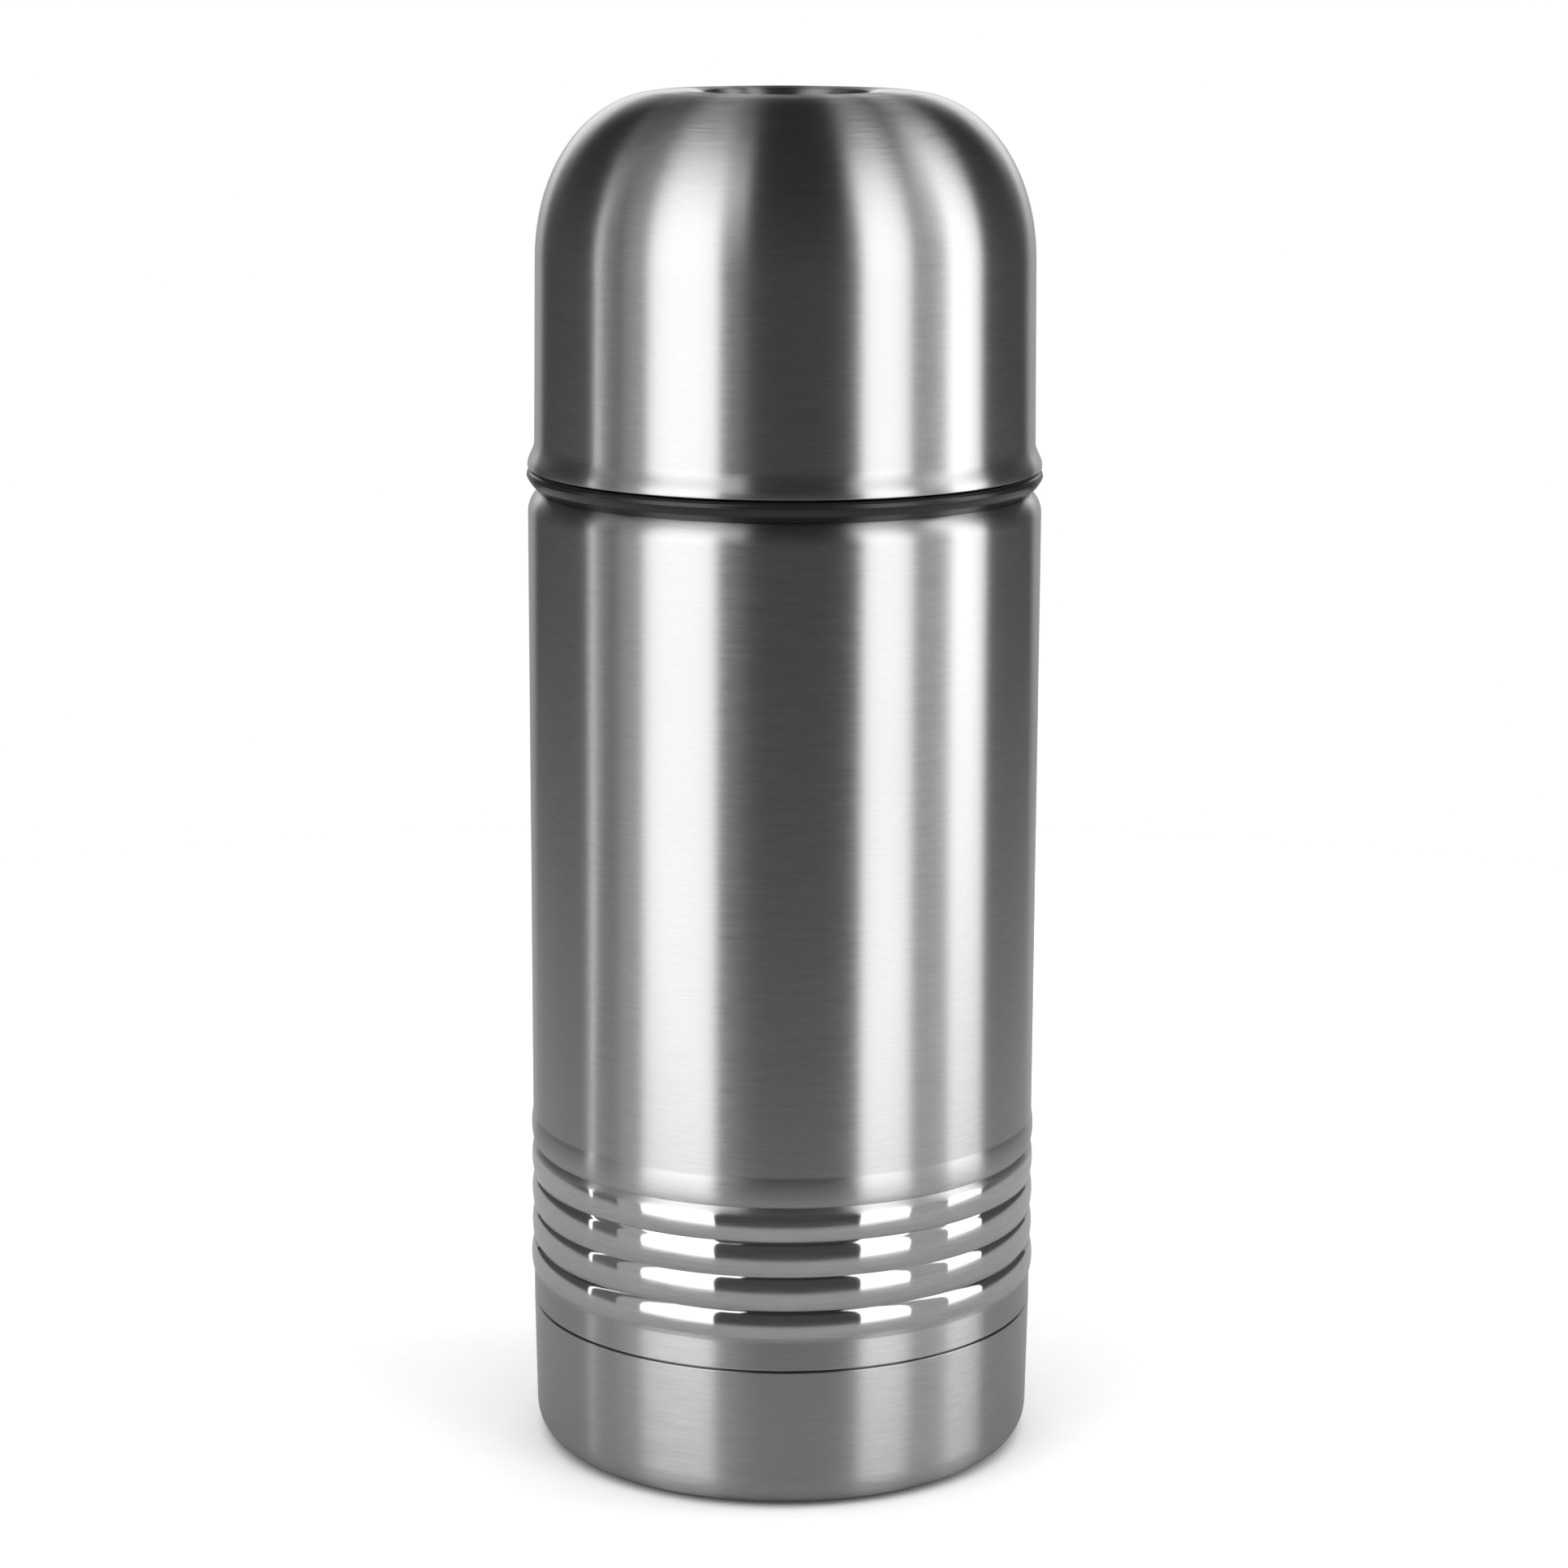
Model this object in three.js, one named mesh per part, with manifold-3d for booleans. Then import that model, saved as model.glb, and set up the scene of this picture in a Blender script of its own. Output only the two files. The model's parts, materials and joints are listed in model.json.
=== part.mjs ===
// Half-litre stainless steel vacuum flask with a screw-on cup and a push-button stopper.
// Millimetres, +Z up. The origin is the centre of the face that the flask stands on.

import * as THREE from 'three';
import { mergeVertices } from 'three/addons/utils/BufferGeometryUtils.js';
import Module from 'manifold-3d';

const wasm = await Module();
wasm.setup();

// ---------- driving dimensions ----------

const GAP = 0.3;            // clearance between two pieces that touch
const SIDES = 32;           // facets round the flask and the cup
const STOPPER_SIDES = 24;   // facets round the stopper
const SMALL_SIDES = 16;     // facets round the smallest turned pieces

const TOTAL_HEIGHT = 214.3;
const BODY_RADIUS = 40;
const SHELL_SHEET = 0.5;    // steel sheet of the outer shell
const THIN_SHEET = 0.4;     // steel sheet of the other pressings

// Base cap: a shallow steel cup over the bottom of the shell.
const BASE = {
  top: 22.05, footRadius: 39.68, cornerWidth: 3.4, cornerHeight: 4.75, dimpleRadius: 29, dimpleDepth: 1.2,
};
const CUSHION = { radius: 30, bottom: 1.9, top: 12.1 };
const PLATE = { flat: 12.4, dome: 15.6, domeRadius: 8, hole: 1.6, rimBottom: 9.4 };
const SEAL = { radius: 3.4, bottom: 14, neck: 1.2, neckTop: 16.8 };
const GETTER = { radius: 5, bottom: 20.4, top: 24.1, pillHeight: 2.6 };

// Outer shell, from the joggle inside the base cap to the top of the neck.
const JOGGLE = { radius: 38.8, bottom: 9, step: 22.35 };
const RIBS = {
  count: 5, pitch: 5.43, lowest: 29.25, valley: 39.5, crest: 40.25, lowestCrest: 40.42, inside: 39,
};
const SHOULDER = { radius: 4.2, height: 153.8 };
const NECK = { inner: 25, outer: 25.6, top: 165.4, corner: 1.6 };

// Inner bottle: its mouth has a narrow bore for the stopper's seal below a wider, threaded bore.
const BOTTLE = { radius: 36.2, bottom: 24.7, corner: 8, shoulderStart: 141, shoulderTop: 151.8 };
const MOUTH = { sealBore: 23.3, bore: 24, step: 155.6, lipBottom: 165.7, top: 166.7, lipRadius: 25.8 };
const FOIL = { thickness: 0.1, bottom: 32.7, top: 138 };

// Threads are rounded ribs that follow a helix.
const THREAD_RIB = 0.9;
const STOPPER_THREAD = { pitch: 4, turns: 1.25, start: 158 };
const CUP_THREAD = { pitch: 4.5, turns: 1, start: 158.2 };

// Plastic collar round the neck, which the cup screws onto.
const COLLAR = {
  inner: 26.1, outer: 35, bottom: 155.5, top: 164.9, wall: 1.7, chamfer: 1.1, gasketWidth: 4,
};

// Cup: a drawn steel shell over a plastic liner whose flange shows below the shell's rim.
const CUP = {
  rim: 156.65, beadRadius: 40.02, beadHeight: 157.1, wallStart: 160.8, wallRadius: 38.95, wallTop: 188.14,
};
const DOME = { centre: 18.34, width: 20.3, height: 26.12, power: 2.087 };
const CREST = { outer: 20.7, landOuter: 16.8, landInner: 15.2, edge: 13.9, edgeDrop: 0.25 };
const RECESS = { radius: 11.2, depth: 2.6 };
const LINER = { wall: 1.2, radius: 40.18, top: 156.3, tip: 38.5, bottom: 153.15 };
const CUP_SEAL = { inner: 38.5, outer: 39.1, height: 1.6 };

// Stopper: a plug with a foam-filled skirt and a central flow tube, below a hollow grip.
const PLUG = {
  radius: 21.8, bottom: 151.2, wall: 1.4, tube: 12.5, tubeWall: 1.3, seat: 20.4, seatTop: 155.5,
};
const GRIP = { radius: 29.5, bottom: 167.1, split: 174.4, top: 183.4, wall: 1.6, shoulder: 179, edge: 0.5 };
const WEB = { bottom: 166.6, top: 168.4, hub: 8, holes: 3, holeSpan: 92 };
const POUR_SLOT = { width: 16, bottom: 169, top: 172.4 };
const COVER = { thickness: 1.8, radius: 22.6, seatLip: 0.6, seatWidth: 1.8, spigot: 2 };
const GASKET = { waist: 22, lip: 22.95, height: 4.3 };
const BUTTON = {
  radius: 12.4, top: 184.8, bottom: 175, wall: 1.4, crown: 3.2, lug: 13.8, boss: 3.8, bossBottom: 173,
};
const BUTTON_HOLE = { radius: 13, guideBottom: 176.8 };
const SPRING = { radius: 6.2, wire: 0.5, turns: 4.5 };
const STEM = { radius: 2.3, bottom: 143.2, top: 177.8, collar: 5, chamfer: 0.4 };
const VALVE = { seatBore: 9, radius: 11.5, top: 147.9, bottom: 145.6, nutBottom: 143.8, nutRadius: 5 };
const TAB = {
  width: 12.2, bottom: 175.9, top: 178.4, inner: 18, outer: 30.6, stop: 23.4, stopLength: 2, stopWidth: 16.2,
};

const FINISHES = {
  brushedSteel: { color: 0xb9bbbd, roughness: 0.28, metalness: 1 },
  plainSteel: { color: 0xaeb0b2, roughness: 0.4, metalness: 1 },
  copper: { color: 0xb87350, roughness: 0.35, metalness: 1 },
  getter: { color: 0x4c4c50, roughness: 0.8, metalness: 0.3 },
  solder: { color: 0x8d8f92, roughness: 0.5, metalness: 1 },
  blackPlastic: { color: 0x141415, roughness: 0.3, metalness: 0 },
  greyPlastic: { color: 0x55585b, roughness: 0.45, metalness: 0 },
  silicone: { color: 0xd9dad6, roughness: 0.55, metalness: 0 },
  foam: { color: 0xe8e6df, roughness: 0.95, metalness: 0 },
};

// ---------- outlines: lists of [radius, height], anticlockwise ----------

function arc([centreRadius, centreHeight], [width, height], [fromDegrees, toDegrees], steps) {
  const points = [];
  for (let i = 0; i <= steps; i += 1) {
    const angle = THREE.MathUtils.degToRad(fromDegrees + (toDegrees - fromDegrees) * i / steps);
    points.push([centreRadius + width * Math.cos(angle), centreHeight + height * Math.sin(angle)]);
  }
  return points;
}

const ring = (inner, outer, bottom, top) => [[inner, bottom], [outer, bottom], [outer, top], [inner, top]];

const disc = (radius, bottom, top) => [[0, bottom], [radius, bottom], [radius, top], [0, top]];

// ---------- solids ----------

function solidFrom(vertProperties, triangles) {
  const mesh = new wasm.Mesh({ numProp: 3, vertProperties, triVerts: new Uint32Array(triangles) });
  return new wasm.Manifold(mesh);
}

function toSolid(geometry) {
  geometry.deleteAttribute('normal');
  geometry.deleteAttribute('uv');
  const merged = mergeVertices(geometry, 1e-4);
  const corners = merged.index.array;
  const triangles = [];
  for (let i = 0; i < corners.length; i += 3) {
    const [a, b, c] = [corners[i], corners[i + 1], corners[i + 2]];
    if (a !== b && b !== c && c !== a) triangles.push(a, b, c);
  }
  const solid = solidFrom(merged.attributes.position.array, triangles);
  return solid.volume() > 0 ? solid : solidFrom(merged.attributes.position.array, triangles.reverse());
}

function turned(outline, sides) {
  const points = outline.map(([radius, height]) => new THREE.Vector2(radius, height));
  if (points[0].x > 0) points.push(points[0].clone());
  return toSolid(new THREE.LatheGeometry(points, sides).rotateX(Math.PI / 2));
}

function block(xRange, yRange, zRange) {
  const ranges = [xRange, yRange, zRange];
  const size = ranges.map(([low, high]) => high - low);
  const middle = ranges.map(([low, high]) => (low + high) / 2);
  return toSolid(new THREE.BoxGeometry(...size).translate(...middle));
}

function extruded(shape, bottom, top) {
  const options = { depth: top - bottom, bevelEnabled: false, curveSegments: 6 };
  return toSolid(new THREE.ExtrudeGeometry(shape, options).translate(0, 0, bottom));
}

function polygon(radius, corners) {
  const shape = new THREE.Shape();
  shape.moveTo(radius, 0);
  for (let i = 1; i < corners; i += 1) {
    const angle = 2 * Math.PI * i / corners;
    shape.lineTo(radius * Math.cos(angle), radius * Math.sin(angle));
  }
  shape.closePath();
  return shape;
}

class Helix extends THREE.Curve {
  constructor(radius, { pitch, turns, start }) {
    super();
    Object.assign(this, { radius, pitch, turns, start });
  }

  getPoint(t, target = new THREE.Vector3()) {
    const angle = 2 * Math.PI * this.turns * t;
    return target.set(
      this.radius * Math.cos(angle),
      this.radius * Math.sin(angle),
      this.start + this.pitch * this.turns * t,
    );
  }
}

function coil(helix, wireRadius, stepsPerTurn) {
  const options = { steps: Math.round(helix.turns * stepsPerTurn), extrudePath: helix };
  return toSolid(new THREE.ExtrudeGeometry(polygon(wireRadius, 6), options));
}

const threadRib = (radius, thread, sides) => coil(new Helix(radius, thread), THREAD_RIB, sides);

function piece(name, solid, finish) {
  const { numProp, vertProperties, triVerts } = solid.getMesh();
  const geometry = new THREE.BufferGeometry();
  geometry.setAttribute('position', new THREE.BufferAttribute(vertProperties, numProp));
  geometry.setIndex(new THREE.BufferAttribute(triVerts, 1));
  geometry.computeVertexNormals();
  const mesh = new THREE.Mesh(geometry, new THREE.MeshStandardMaterial(FINISHES[finish]));
  mesh.name = name;
  return mesh;
}

// ---------- base ----------

function baseCap() {
  const { footRadius, cornerWidth, cornerHeight } = BASE;
  const cornerCentre = [footRadius - cornerWidth, cornerHeight];
  const corner = (inset) => arc(cornerCentre, [cornerWidth - inset, cornerHeight - inset], [-90, 0], 3);
  const dimple = (inset) => [
    [BASE.dimpleRadius - 1 + inset, BASE.dimpleDepth + inset],
    [BASE.dimpleRadius + inset, inset],
  ];
  return turned([
    [0, BASE.dimpleDepth], ...dimple(0), ...corner(0), [BODY_RADIUS, BASE.top],
    [BODY_RADIUS - THIN_SHEET, BASE.top], ...corner(THIN_SHEET).reverse(), ...dimple(THIN_SHEET).reverse(),
    [0, BASE.dimpleDepth + THIN_SHEET],
  ], SIDES);
}

// The cushion keeps the vacuum seal clear of the base cap.
const baseCushion = () => turned(disc(CUSHION.radius, CUSHION.bottom, CUSHION.top), SMALL_SIDES);

function bottomPlate() {
  const rim = JOGGLE.radius - SHELL_SHEET - GAP;
  const upper = [
    [rim, PLATE.flat + SHELL_SHEET], [PLATE.domeRadius + 3.3, PLATE.flat + SHELL_SHEET],
    [PLATE.domeRadius + 0.3, PLATE.dome + SHELL_SHEET], [PLATE.hole, PLATE.dome + SHELL_SHEET],
  ];
  const lower = [
    [PLATE.hole, PLATE.dome], [PLATE.domeRadius, PLATE.dome], [PLATE.domeRadius + 3, PLATE.flat],
    [rim - SHELL_SHEET, PLATE.flat], [rim - SHELL_SHEET, PLATE.rimBottom], [rim, PLATE.rimBottom],
  ];
  return turned([...lower, ...upper], SIDES);
}

// A plug of solder fills the hole through which the air was drawn out.
function sealPlug() {
  const shoulder = PLATE.dome - GAP;
  return turned([
    [0, SEAL.bottom], [SEAL.radius, SEAL.bottom], [SEAL.radius, shoulder], [SEAL.neck, shoulder],
    [SEAL.neck, SEAL.neckTop], [0, SEAL.neckTop],
  ], SMALL_SIDES);
}

function getterHolder() {
  const { radius, bottom, top } = GETTER;
  return turned([
    [0, bottom], [radius, bottom], [radius, top], [radius - THIN_SHEET, top],
    [radius - THIN_SHEET, bottom + THIN_SHEET], [0, bottom + THIN_SHEET],
  ], SMALL_SIDES);
}

function getterPill() {
  const bottom = GETTER.bottom + THIN_SHEET + GAP;
  return turned(disc(GETTER.radius - THIN_SHEET - GAP, bottom, bottom + GETTER.pillHeight), SMALL_SIDES);
}

// ---------- outer shell ----------

// Each rib swells out of the valley as half an ellipse.
function ribOutline() {
  const points = [];
  for (let i = 0; i < RIBS.count; i += 1) {
    const crest = i === 0 ? RIBS.lowestCrest : RIBS.crest;
    for (const place of [-0.95, -0.5, 0.5, 0.95]) {
      const swell = Math.sqrt(1 - place * place) / Math.sqrt(1 - 0.5 * 0.5);
      const radius = RIBS.valley + (crest - RIBS.valley) * swell;
      points.push([radius, RIBS.lowest + RIBS.pitch * (i + place / 2)]);
    }
  }
  return points;
}

function outerShell() {
  const round = (size) => [size, size];
  const shoulderCentre = [BODY_RADIUS - SHOULDER.radius, SHOULDER.height - SHOULDER.radius];
  const shoulder = (inset) => arc(shoulderCentre, round(SHOULDER.radius - inset), [0, 90], 4);
  const neckCentre = [NECK.outer + NECK.corner, SHOULDER.height + NECK.corner];
  const neckCorner = (inset) => arc(neckCentre, round(NECK.corner + inset), [270, 180], 1);
  const ribsBottom = RIBS.lowest - RIBS.pitch / 2;
  const ribsTop = RIBS.lowest + RIBS.pitch * (RIBS.count - 0.5);
  const outside = [
    [JOGGLE.radius, JOGGLE.bottom], [JOGGLE.radius, JOGGLE.step], [BODY_RADIUS, JOGGLE.step],
    [BODY_RADIUS, ribsBottom], ...ribOutline(), [BODY_RADIUS, ribsTop + 0.3],
    ...shoulder(0), ...neckCorner(0), [NECK.outer, NECK.top],
  ];
  const inside = [
    [JOGGLE.radius - SHELL_SHEET, JOGGLE.bottom], [JOGGLE.radius - SHELL_SHEET, JOGGLE.step + SHELL_SHEET],
    [RIBS.inside, JOGGLE.step + 2 * SHELL_SHEET], [RIBS.inside, ribsTop],
    [BODY_RADIUS - SHELL_SHEET, ribsTop + 1],
    ...shoulder(SHELL_SHEET), ...neckCorner(SHELL_SHEET), [NECK.inner, NECK.top],
  ];
  return turned([...outside, ...inside.reverse()], SIDES);
}

// ---------- inner bottle ----------

function bottleOutline(inset) {
  const [radius, neck] = [BOTTLE.radius - inset, MOUTH.sealBore + THIN_SHEET - inset];
  const cornerCentre = [BOTTLE.radius - BOTTLE.corner, BOTTLE.bottom + BOTTLE.corner];
  const rise = BOTTLE.shoulderTop - BOTTLE.shoulderStart - inset;
  return [
    ...arc(cornerCentre, [BOTTLE.corner - inset, BOTTLE.corner - inset], [-90, 0], 3),
    ...arc([neck, BOTTLE.shoulderStart], [radius - neck, rise], [0, 72], 4),
    [neck, BOTTLE.shoulderTop + 1 - inset], [neck, MOUTH.step],
    [MOUTH.bore + THIN_SHEET - inset, MOUTH.step + 0.8],
  ];
}

function innerBottle() {
  const shell = turned([
    [0, BOTTLE.bottom], ...bottleOutline(0), [MOUTH.bore + THIN_SHEET, MOUTH.lipBottom],
    [MOUTH.lipRadius, MOUTH.lipBottom], [MOUTH.lipRadius, MOUTH.top - GAP],
    [MOUTH.lipRadius - GAP, MOUTH.top], [MOUTH.bore, MOUTH.top],
    ...bottleOutline(THIN_SHEET).reverse(), [0, BOTTLE.bottom + THIN_SHEET],
  ], SIDES);
  const middleOfWall = MOUTH.bore + THIN_SHEET / 2;
  const rib = threadRib(middleOfWall, STOPPER_THREAD, SIDES);
  return shell.add(rib.intersect(turned(disc(middleOfWall, MOUTH.step, MOUTH.top), SIDES)));
}

// Foil wrapped round the inner bottle keeps radiant heat in.
function reflectiveFoil() {
  const inner = BOTTLE.radius + GAP;
  return turned(ring(inner, inner + FOIL.thickness, FOIL.bottom, FOIL.top), SIDES);
}

// ---------- neck ----------

function neckCollar() {
  const { inner, outer, bottom, top, wall, chamfer } = COLLAR;
  const skirts = turned([
    [inner, bottom], [inner + wall, bottom], [inner + wall, top - wall], [outer - wall, top - wall],
    [outer - wall, bottom], [outer, bottom], [outer, top - chamfer], [outer - chamfer, top], [inner, top],
  ], SIDES);
  return skirts.add(threadRib(outer, CUP_THREAD, SIDES));
}

function collarGasket() {
  const outer = COLLAR.outer;
  return turned(ring(outer - COLLAR.gasketWidth, outer, SHOULDER.height + GAP, COLLAR.bottom - GAP), SIDES);
}

// ---------- cup ----------

// The dome is part of a superellipse, from the top of the wall in to a given radius.
function domeOutline(inset, innerRadius, steps) {
  const [width, height] = [DOME.width - inset, DOME.height - inset];
  const last = Math.acos(Math.pow((innerRadius - DOME.centre) / width, DOME.power / 2));
  const points = [];
  for (let i = 0; i <= steps; i += 1) {
    const angle = last * i / steps;
    const [across, up] = [Math.cos(angle), Math.sin(angle)].map((part) => Math.pow(part, 2 / DOME.power));
    points.push([DOME.centre + width * across, CUP.wallTop + height * up]);
  }
  return points;
}

// The wall flares out to a bead at the rim.
function cupWall(inset, domeSteps) {
  const bead = CUP.beadRadius - inset;
  const wall = CUP.wallRadius - inset;
  return [
    [bead - 0.25, CUP.rim], [bead, CUP.beadHeight], [bead - 0.2, CUP.beadHeight + 0.95],
    [wall + 0.25, CUP.wallStart - 1.4], [wall, CUP.wallStart], ...domeOutline(inset, CREST.outer, domeSteps),
  ];
}

function cupShell() {
  const { landOuter, landInner, edge, edgeDrop } = CREST;
  const crown = (drop, grow) => [
    [landOuter, TOTAL_HEIGHT - drop], [landInner, TOTAL_HEIGHT - drop],
    [edge + grow, TOTAL_HEIGHT - drop - edgeDrop], [RECESS.radius + grow, TOTAL_HEIGHT - drop - RECESS.depth],
    [0, TOTAL_HEIGHT - drop - RECESS.depth],
  ];
  const outside = [...cupWall(0, 7), ...crown(0, 0)];
  const inside = [...cupWall(THIN_SHEET, 7), ...crown(THIN_SHEET, THIN_SHEET / 3)];
  return turned([...outside, ...inside.reverse()], SIDES);
}

function cupLiner() {
  const inset = THIN_SHEET + GAP;
  const innerInset = inset + LINER.wall;
  const ceiling = TOTAL_HEIGHT - RECESS.depth - THIN_SHEET - GAP;
  const below = (limit) => ([radius, height]) => [radius, Math.min(height, limit)];
  const dome = (domeInset, limit) => domeOutline(domeInset, CREST.outer + 1, 5).map(below(limit));
  const { radius, top, tip, bottom } = LINER;
  const inner = CUP.wallRadius - innerInset;
  const shell = turned([
    [inner, bottom + 1], [tip - 0.8, bottom + 0.75], [tip - 0.2, bottom], [tip, bottom],
    [radius - 0.8, bottom + 0.85], [radius - 0.25, bottom + 1.65], [radius, top - 0.95], [radius - 0.4, top],
    [CUP.wallRadius - inset, top], ...dome(inset, ceiling), [0, ceiling],
    [0, ceiling - LINER.wall], ...dome(innerInset, ceiling - LINER.wall).reverse(),
  ], SIDES);
  const rib = threadRib(inner + GAP, CUP_THREAD, SIDES);
  return shell.add(rib.intersect(turned(disc(inner + LINER.wall / 2, bottom, CUP.wallTop), SIDES)));
}

function cupSealRing() {
  return turned(ring(CUP_SEAL.inner, CUP_SEAL.outer, CUP.rim, CUP.rim + CUP_SEAL.height), SIDES);
}

// ---------- stopper ----------

function flowHole(index) {
  const middle = 2 * Math.PI * (index + 0.25) / WEB.holes;
  const halfSpan = THREE.MathUtils.degToRad(WEB.holeSpan / 2);
  const shape = new THREE.Shape();
  shape.absarc(0, 0, PLUG.tube - 0.2, middle - halfSpan, middle + halfSpan, false);
  shape.absarc(0, 0, WEB.hub, middle + halfSpan, middle - halfSpan, true);
  shape.closePath();
  return extruded(shape, WEB.bottom - 1, WEB.top + 1);
}

function stopperBody() {
  const guide = STEM.radius + GAP;
  const ceiling = WEB.bottom - 0.5;
  const tubeOuter = PLUG.tube + PLUG.tubeWall;
  const skirtInner = PLUG.seat - PLUG.wall;
  const gripInner = GRIP.radius - GRIP.wall;
  const moulding = turned([
    [guide, WEB.bottom], [PLUG.tube, WEB.bottom], [PLUG.tube, PLUG.bottom], [tubeOuter, PLUG.bottom],
    [tubeOuter, ceiling], [skirtInner, ceiling], [skirtInner, PLUG.bottom], [PLUG.seat, PLUG.bottom],
    [PLUG.seat, PLUG.seatTop], [PLUG.radius, PLUG.seatTop + 0.4], [PLUG.radius, GRIP.bottom],
    [GRIP.radius - GRIP.edge, GRIP.bottom], [GRIP.radius, GRIP.bottom + GRIP.edge],
    [GRIP.radius, GRIP.split], [gripInner, GRIP.split], [gripInner, WEB.top], [guide, WEB.top],
  ], STOPPER_SIDES);
  const { width, bottom, top } = POUR_SLOT;
  const acrossGrip = [-GRIP.radius - 1, GRIP.radius + 1];
  let openings = block([-width / 2, width / 2], acrossGrip, [bottom, top]);
  for (let i = 0; i < WEB.holes; i += 1) openings = openings.add(flowHole(i));
  return moulding.add(threadRib(PLUG.radius, STOPPER_THREAD, STOPPER_SIDES)).subtract(openings);
}

function stopperTop() {
  const { radius, split, top, wall, shoulder } = GRIP;
  const hole = BUTTON_HOLE.radius;
  const bottom = split + GAP;
  const housing = turned([
    [hole, BUTTON_HOLE.guideBottom], [hole + wall, BUTTON_HOLE.guideBottom], [hole + wall, top - 1.9],
    [radius - 4.3, top - 2.3], [radius - wall, shoulder - 0.5], [radius - wall, bottom], [radius, bottom],
    [radius, shoulder], [radius - 0.9, top - 2.4], [radius - 3, top - 0.8], [radius - 7.5, top - 0.2],
    [hole + 0.8, top], [hole, top - 0.6],
  ], STOPPER_SIDES);
  const halfWindow = TAB.width / 2 + 0.4;
  const heights = [TAB.bottom - GAP, TAB.top + GAP];
  const windows = block([-radius - 1, radius + 1], [-halfWindow, halfWindow], heights);
  const middle = turned(disc(radius - wall - 1, TAB.bottom - 1, TAB.top + 1), STOPPER_SIDES);
  return housing.subtract(windows.subtract(middle));
}

function stopperCore() {
  const inner = PLUG.tube + PLUG.tubeWall + GAP;
  const outer = PLUG.seat - PLUG.wall - GAP;
  return turned(ring(inner, outer, PLUG.bottom, WEB.bottom - 0.5 - GAP), STOPPER_SIDES);
}

// The cover closes the foam chamber and carries the valve's seat.
function stopperCover() {
  const top = PLUG.bottom - 0.5;
  const bottom = top - COVER.thickness;
  const spigotOuter = PLUG.tube - GAP;
  return turned([
    [VALVE.seatBore, bottom - COVER.seatLip],
    [VALVE.seatBore + COVER.seatWidth - COVER.seatLip, bottom - COVER.seatLip],
    [VALVE.seatBore + COVER.seatWidth, bottom], [COVER.radius, bottom], [COVER.radius, top],
    [spigotOuter, top], [spigotOuter, top + COVER.spigot],
    [spigotOuter - 1, top + COVER.spigot], [VALVE.seatBore, top],
  ], STOPPER_SIDES);
}

function stopperGasket() {
  const inner = PLUG.seat + GAP;
  const bottom = PLUG.bottom - 0.2;
  const lip = (middle) => [
    [GASKET.waist, middle - 0.9], [GASKET.lip, middle - 0.3],
    [GASKET.lip, middle + 0.3], [GASKET.waist, middle + 0.9],
  ];
  return turned([
    [inner, bottom], ...lip(bottom + 0.95), ...lip(bottom + GASKET.height - 0.95),
    [inner, bottom + GASKET.height],
  ], STOPPER_SIDES);
}

function pushButton() {
  const { radius, top, bottom, wall, crown, lug, boss, bossBottom } = BUTTON;
  const bore = STEM.radius + GAP;
  return turned([
    [bore, bossBottom], [boss, bossBottom], [boss, top - crown], [radius - wall, top - crown],
    [radius - wall, bottom], [lug, bottom], [lug, bottom + wall], [radius, bottom + wall], [radius, top - 2],
    [radius - 0.9, top - 1], [radius - 4, top - 0.25], [0, top], [0, STEM.top + GAP], [bore, STEM.top + GAP],
  ], STOPPER_SIDES);
}

function buttonSpring() {
  const { radius, wire, turns } = SPRING;
  const start = WEB.top + GAP + wire;
  const end = BUTTON.top - BUTTON.crown - GAP - wire;
  return coil(new Helix(radius, { pitch: (end - start) / turns, turns, start }), wire, 12);
}

function valveStem() {
  const { radius, bottom, top, collar, chamfer } = STEM;
  const collarBottom = VALVE.top + GAP;
  return turned([
    [0, bottom], [radius - chamfer, bottom], [radius, bottom + chamfer], [radius, collarBottom],
    [collar, collarBottom], [collar, collarBottom + 1], [radius, collarBottom + 1.6],
    [radius, top], [0, top],
  ], SMALL_SIDES);
}

function valveSeal() {
  const bore = STEM.radius + GAP;
  return turned([
    [bore, VALVE.bottom], [VALVE.radius - 2.5, VALVE.bottom], [VALVE.radius, VALVE.top - 0.9],
    [VALVE.radius, VALVE.top], [bore, VALVE.top],
  ], STOPPER_SIDES);
}

function valveNut() {
  const hexagon = polygon(VALVE.nutRadius, 6);
  hexagon.holes.push(new THREE.Path().absarc(0, 0, STEM.radius + GAP, 0, 2 * Math.PI, true));
  return extruded(hexagon, VALVE.nutBottom, VALVE.bottom - GAP);
}

// A tab slides through its window in the housing, and its stop is too wide to pass.
function releaseTab(side) {
  const across = (width) => [-width / 2, width / 2];
  const along = (from, to) => (side > 0 ? [from, to] : [-to, -from]);
  const heights = [TAB.bottom, TAB.top];
  const slide = block(along(TAB.inner, TAB.outer), across(TAB.width), heights);
  const stop = block(along(TAB.stop, TAB.stop + TAB.stopLength), across(TAB.stopWidth), heights);
  return slide.add(stop);
}

// ---------- assembly ----------

const flask = new THREE.Group();
flask.add(
  piece('outer_shell', outerShell(), 'brushedSteel'),
  piece('bottom_plate', bottomPlate(), 'plainSteel'),
  piece('seal_plug', sealPlug(), 'solder'),
  piece('getter_holder', getterHolder(), 'plainSteel'),
  piece('getter_pill', getterPill(), 'getter'),
  piece('base_cap', baseCap(), 'brushedSteel'),
  piece('base_cushion', baseCushion(), 'foam'),
  piece('inner_bottle', innerBottle(), 'plainSteel'),
  piece('reflective_foil', reflectiveFoil(), 'copper'),
  piece('neck_collar', neckCollar(), 'blackPlastic'),
  piece('collar_gasket', collarGasket(), 'silicone'),
);

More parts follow.
